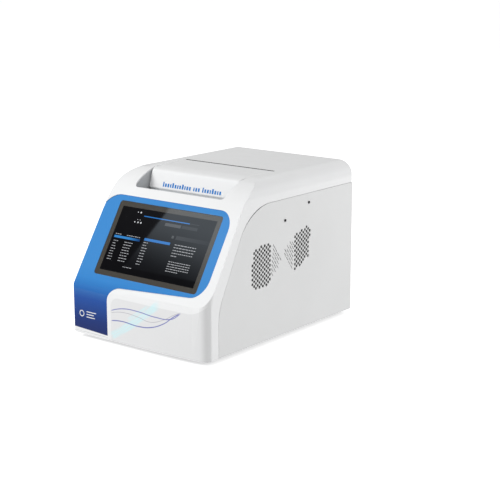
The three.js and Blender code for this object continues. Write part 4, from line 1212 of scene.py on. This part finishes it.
def side_screw(side, number):
    """A low pan head with a cross recess."""
    node = f"side_screw_{side}_{number}"
    sign = sign_of(side)
    outer = outer_face(node, sign)
    at = middle(node)
    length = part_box(node)[1].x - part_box(node)[0].x
    head_place = (outer - sign * SCREW_HEAD_HEIGHT / 2, at.y, at.z)
    head = rod("head", head_place, "X", SCREW_HEAD_RADIUS, SCREW_HEAD_HEIGHT, 32)
    enter(head, False)
    bpy.ops.mesh.select_mode(type="FACE")
    shape = bmesh.from_edit_mesh(head.data)
    for face in shape.faces:
        face.select = face.normal.x * sign > 0.9
    bmesh.update_edit_mesh(head.data)
    bpy.ops.mesh.bevel(offset=0.6 * MM, segments=4, affect="EDGES")
    leave()
    shank_place = (outer - sign * (length + SCREW_HEAD_HEIGHT) / 2, at.y, at.z)
    shank = rod("shank", shank_place, "X", SCREW_SHANK_RADIUS, length - SCREW_HEAD_HEIGHT, 20)
    recess_middle = Vector((outer, at.y, at.z))
    arms = []
    for up, across in ((RECESS_HALF, RECESS_REACH), (RECESS_REACH, RECESS_HALF)):
        half = Vector((RECESS_DEPTH, across, up))
        arms.append(block("arm", recess_middle - half, recess_middle + half))
    screw = join(f"case_screw_{side}_{number}", [cut(head, *arms), shank])
    hand_over(smooth(screw), CASING, "screw_black", OXIDE, instead_of=[node])


# ---------------------------------------------------------------- rear
GUARD_REACH = 36.5 * MM
GUARD_SPOKE_HALF = 49 * MM
GUARD_EYE_REACH = 50.6 * MM


def fan_guard(side):
    """A welded wire guard: rings, crossed spokes and four screwed eyes."""
    node = f"fan_guard_{side}"
    low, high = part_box(node)
    at = middle(node)
    wire = (high.y - low.y) / 2 * 0.72
    made = [ring("wire", at, "Y", GUARD_REACH * share, wire, 56, 8) for share in (0.22, 0.42, 0.61, 0.8, 1.0)]
    for turn in (45, 135):
        spoke = rod("spoke", (0, 0, 0), "X", wire, 2 * GUARD_SPOKE_HALF, 10)
        spoke.data.transform(Matrix.Translation(at) @ Matrix.Rotation(math.radians(turn), 4, "Y"))
        made.append(spoke)
    for turn in (45, 135, 225, 315):
        angle = math.radians(turn)
        eye = at + Vector((math.cos(angle), 0, math.sin(angle))) * GUARD_EYE_REACH
        made.append(ring("eye", eye, "Y", 3.0 * MM, wire, 24, 8))
        head_place = eye + Vector((0, -0.2 * MM, 0))
        made.append(rod("head", head_place, "Y", 2.7 * MM, 1.6 * MM, 24, 2.0 * MM))
    guard = join(f"wire_guard_{side}", made)
    hand_over(smooth(guard), CASING, "sheet_steel", WIRE, instead_of=[node])


BLADES = 7
HUB_SHARE = 0.43  # of the rotor's radius
ROOT_PITCH, TIP_PITCH = 48, 26  # degrees


def fan_blade(hub, radius, depth):
    """One blade from inside the hub to the tip, twisted and swept."""
    deselect()
    bpy.ops.mesh.primitive_grid_add(x_subdivisions=6, y_subdivisions=8, size=1)
    blade = bpy.context.active_object
    root = hub * 0.94
    for vertex in blade.data.vertices:
        out = vertex.co.x + 0.5
        along = vertex.co.y
        reach = root + (radius - root) * out
        pitch = math.radians(ROOT_PITCH + (TIP_PITCH - ROOT_PITCH) * out)
        chord = depth / math.sin(pitch)
        sweep = along * chord * math.cos(pitch) / reach + 0.18 * (1 - 4 * along * along) + 0.12 * out * out
        vertex.co = (reach * math.cos(sweep), reach * math.sin(sweep), along * depth)
    return blade


def fan_rotor(node, name, body, axis):
    """A hub with curved, twisted blades."""
    low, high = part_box(node)
    size = high - low
    depth = size.z if axis == "Z" else size.y
    radius = max(size) / 2
    hub = radius * HUB_SHARE
    made = [rod("hub", (0, 0, 0), "Z", hub, depth, 40)]
    use(made[0], "BEVEL", width=1.6 * MM, segments=3, limit_method="ANGLE", angle_limit=math.radians(50))
    for i in range(BLADES):
        blade = fan_blade(hub, radius, depth * 0.86)
        blade.data.transform(Matrix.Rotation(2 * math.pi * i / BLADES, 4, "Z"))
        made.append(use(blade, "SOLIDIFY", thickness=1.2 * MM, offset=0))
    rotor = join(name, made)
    turn = Matrix.Rotation(-math.pi / 2, 4, "X") if axis == "Y" else Matrix.Identity(4)
    rotor.data.transform(Matrix.Translation(middle(node)) @ turn)
    hand_over(smooth(rotor, 40), body, "fan_plastic", FAN_BLACK, instead_of=[node])


def power_rocker():
    """The switch key, its edges moulded round."""
    piece = softened("power_rocker", "rocker_key", 0.5 * MM, 3)
    hand_over(piece, "rocker", "dark_plastic", BLACK, instead_of=["power_rocker"])


# ---------------------------------------------------------------- under the lid
WELL_ROWS, WELL_COLUMNS, WELL_PITCH = 8, 12, 9 * MM


def well_places(node):
    centre = middle(node)
    for row in range(WELL_ROWS):
        for column in range(WELL_COLUMNS):
            across = column - (WELL_COLUMNS - 1) / 2
            along = row - (WELL_ROWS - 1) / 2
            yield centre.x + across * WELL_PITCH, centre.y + along * WELL_PITCH


def sample_block():
    """The block with its tapered wells; each taper starts 1 mm above the top."""
    low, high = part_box("sample_block")
    body = block("sample_block_machined", low, high)
    depth = 15.5 * MM
    centre_z = high.z + 1 * MM - depth / 2
    tapers = []
    for x, y in well_places("sample_block"):
        tapers.append(rod("well", (x, y, centre_z), "Z", 1.3 * MM, depth, 24, 3.33 * MM))
    cut(body, join("wells", tapers))
    round_edges(body, 0.3 * MM, 2, 50)
    hand_over(body, CASING, "aluminium", ALUMINIUM, instead_of=["sample_block"])


def heated_plate():
    """The heated plate, with a window over each well."""
    low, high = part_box("heated_lid_plate")
    body = block("heated_plate_machined", low, high)
    centre_z = (low.z + high.z) / 2
    bores = []
    for x, y in well_places("heated_lid_plate"):
        bores.append(rod("bore", (x, y, centre_z), "Z", 2.4 * MM, 10 * MM, 20))
    cut(body, join("windows", bores))
    round_edges(body, 0.3 * MM, 2, 50)
    hand_over(body, "hot_plate", "aluminium", ALUMINIUM, instead_of=["heated_lid_plate"])


def plate_spring(number):
    """A coil wound from round wire with closed ends."""
    node = f"plate_spring_{number}"
    low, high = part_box(node)
    at = middle(node)
    wire = 0.6 * MM
    turns = 5
    radius = (high.x - low.x) / 2 - wire
    deselect()
    upright = (math.pi / 2, 0, 0)
    bpy.ops.mesh.primitive_circle_add(vertices=10, radius=wire, rotation=upright, location=(radius, 0, 0))
    coil = apply_place(bpy.context.active_object, f"spring_coil_{number}")
    use(
        coil,
        "SCREW",
        steps=28,
        render_steps=28,
        screw_offset=(high.z - low.z - 2 * wire) / turns,
        iterations=turns,
        use_merge_vertices=False,
        use_normal_calculate=True,
    )
    enter(coil, False)
    bpy.ops.mesh.select_mode(type="EDGE")
    bpy.ops.mesh.select_non_manifold()
    bpy.ops.mesh.edge_face_add()
    bpy.ops.mesh.select_all(action="SELECT")
    bpy.ops.mesh.normals_make_consistent(inside=False)
    leave()
    coil.data.transform(Matrix.Translation((at.x, at.y, low.z + wire)))
    smooth(coil, 50)
    hand_over(coil, "lid", "spring_steel", WIRE, instead_of=[node])


# ---------------------------------------------------------------- the rest of the CAD nodes
SOFT_COPIES = {
    # node: (width of its radii in millimetres, body, slot, material)
    "block_deck": (0.6, CASING, "deck_plastic", DECK_GREY),
    "lid_liner": (0.4, "lid", "deck_plastic", DECK_GREY),
    "block_frame": (0.5, CASING, "dark_plastic", BLACK),
    # The base pan's dark coat also stands in for the shadow line under the cover.
    "base_pan": (0.3, CASING, "sheet_steel", PAN_SHADOW_COAT),
    "rear_panel": (0.3, CASING, "side_paint", SIDE_PAINT),
    "mains_inlet": (0.4, CASING, "dark_plastic", BLACK),
    "fuse_drawer": (0.3, "drawer", "dark_plastic", BLACK),
    "exhaust_fan_left_frame": (0.5, CASING, "fan_plastic", FAN_BLACK),
    "exhaust_fan_right_frame": (0.5, CASING, "fan_plastic", FAN_BLACK),
    "sink_fan_frame": (0.5, CASING, "fan_plastic", FAN_BLACK),
    "usb_port": (0.15, CASING, "sheet_steel", PLATED),
    "network_port": (0.15, CASING, "sheet_steel", PLATED),
    "hinge_pin": (0.3, CASING, "sheet_steel", WIRE),
}
for end in ("front", "rear"):
    for side in SIDES:
        SOFT_COPIES[f"foot_{end}_{side}"] = (0.6, CASING, "foot_rubber", RUBBER)
# CAD nodes shown as they are, with the material each one gets.
CARRIED = {
    "lcd_module": BLACK,
    "display_board": SOLDER_MASK,
    "main_board": SOLDER_MASK,
    "block_driver_board": SOLDER_MASK,
    "power_supply": SUPPLY,
    "heat_sink": ALUMINIUM,
    "plate_carrier": PLATED,
    "optics_housing": BLACK,
    "optics_cover": BLACK,
    "filter_wheel": BLACK,
    "filter_motor": PLATED,
    "led_module": ALUMINIUM,
    "detector_module": BLACK,
    "fibre_bundle": BLACK,
    "chassis_frame": PLATED,
}


def soften_the_rest():
    for node, (width, body, slot, material) in SOFT_COPIES.items():
        piece = softened(node, f"{node}_finished", width * MM)
        hand_over(piece, body, slot, material, instead_of=[node])
    for node, material in CARRIED.items():
        repaint(frame["nodes"][node], material)
    for i in range(1, 7):
        repaint(frame["nodes"][f"peltier_{i}"], CERAMIC)


# ---------------------------------------------------------------- studio
LIGHT_TARGET = Vector((0, 0, 0.15))
GLOW_TOP = 126  # where on the glass, in the picture's millimetres, a mirrored card is brightest


def floor():
    """A white ground that glows a little and throws no light up on the casing."""
    colour = (0.93, 0.93, 0.93)
    material, r, shader = new_material("studio floor")
    shade = r.between(r.noise(6.0), 0.3, 0.7)
    r.feed(shader.inputs["Base Color"], r.blend(shade, tint(colour, 0.995), tint(colour, 1.0)))
    set_input(shader, "Roughness", 0.8)
    set_input(shader, "Emission Color", (1, 1, 1, 1))
    set_input(shader, "Emission Strength", 0.55)
    ground = plate("studio_floor", -40, 40, -40, 40, -0.2 * MM)
    ground.visible_diffuse = False
    repaint(ground, material)


def soft_light(name, place, size, power):
    """A rectangular lamp aimed at the middle of the instrument, which polished faces don't mirror."""
    place = Vector(place)
    deselect()
    bpy.ops.object.light_add(type="AREA", location=place)
    light = bpy.context.active_object
    light.name = name
    light.data.shape = "RECTANGLE"
    light.data.size, light.data.size_y = size
    light.data.energy = power
    light.rotation_euler = (LIGHT_TARGET - place).to_track_quat("-Z", "Y").to_euler()
    light.visible_glossy = False


def glass_reflection(x, rise, distance):
    """Where the line of sight to a point on the glass goes after its mirror bounce."""
    point = SLOPE_FRAME @ Vector((x * MM, (rise + PICTURE_RISE) * MM, 0))
    normal = SLOPE_FRAME.to_3x3() @ Vector((0, 0, 1))
    sight = (point - CAMERA_PLACE).normalized()
    bounce = sight - 2 * sight.dot(normal) * normal
    return point + bounce * distance


def mirror_card(name, corners, distance, colour, low_glow, high_glow):
    """A card only the polished faces see; its corners are given by where the glass mirrors them."""
    card = plate(name, 0, 1, 0, 1)
    loop_order = [card.data.vertices[i] for i in card.data.polygons[0].vertices]
    for vertex, (x, rise) in zip(loop_order, corners):
        vertex.co = glass_reflection(x, rise, distance)
    material = bpy.data.materials.new(name)
    material.use_nodes = True
    material.node_tree.nodes.clear()
    r = Recipe(material.node_tree)
    glow = r.add("ShaderNodeEmission")
    glow.inputs["Color"].default_value = colour
    low = glass_reflection(0, 0, distance)
    high = glass_reflection(0, GLOW_TOP, distance)
    r.feed(glow.inputs["Strength"], r.between(r.axis("Z"), low.z, high.z, low_glow, high_glow))
    r.feed(r.add("ShaderNodeOutputMaterial").inputs["Surface"], glow.outputs[0])
    repaint(card, material)
    for ray in ("camera", "diffuse", "shadow", "transmission", "volume_scatter"):
        setattr(card, f"visible_{ray}", False)


def mirror_cards():
    """A dark flag that keeps the glass deep, and before it the slanting pane of light it mirrors."""
    flag = [(-230, -60), (230, -60), (230, 210), (-230, 210)]
    pane = [(-57, 4.4), (170, 4.4), (170, 150), (7.5, 150)]
    mirror_card("dark_flag", flag, 1.5, (1, 1, 1, 1), 0.01, 0.08)
    mirror_card("light_pane", pane, 1.4, (0.85, 0.97, 1.08, 1), 0.08, 1.6)


def sky():
    """Even white light from all round."""
    world = bpy.data.worlds.new("studio")
    bpy.context.scene.world = world
    world.use_nodes = True
    background = world.node_tree.nodes["Background"]
    background.inputs["Color"].default_value = (1, 1, 1, 1)
    background.inputs["Strength"].default_value = 0.5


def studio():
    floor()
    mirror_cards()
    sky()
    soft_light("key", (-1.9, -2.4, 1.9), (1.6, 1.6), 85)
    soft_light("side", (2.2, 2.4, 1.1), (1.8, 1.4), 59)
    soft_light("fill", (1.9, -2.1, 1.0), (1.4, 1.4), 9)
    scene = bpy.context.scene
    scene.view_settings.view_transform = "Standard"
    scene.view_settings.look = "None"


# ---------------------------------------------------------------- putting it together
set_camera()
outer_cover()
display_surround()
band_emblem()
touch_glass()
screen_picture()
lid_shell()
lid_seal()
lid_marks()
for side in SIDES:
    side_panel(side)
    vent_shade_foam(side)
    side_screw(side, 1)
    side_screw(side, 2)
    fan_guard(side)
    fan_rotor(f"exhaust_fan_{side}_rotor", f"exhaust_blades_{side}", f"exhaust_rotor_{side}", "Y")
fan_rotor("sink_fan_rotor", "sink_blades", "sink_rotor", "Z")
power_rocker()
sample_block()
heated_plate()
for number in range(1, 5):
    plate_spring(number)
soften_the_rest()
studio()
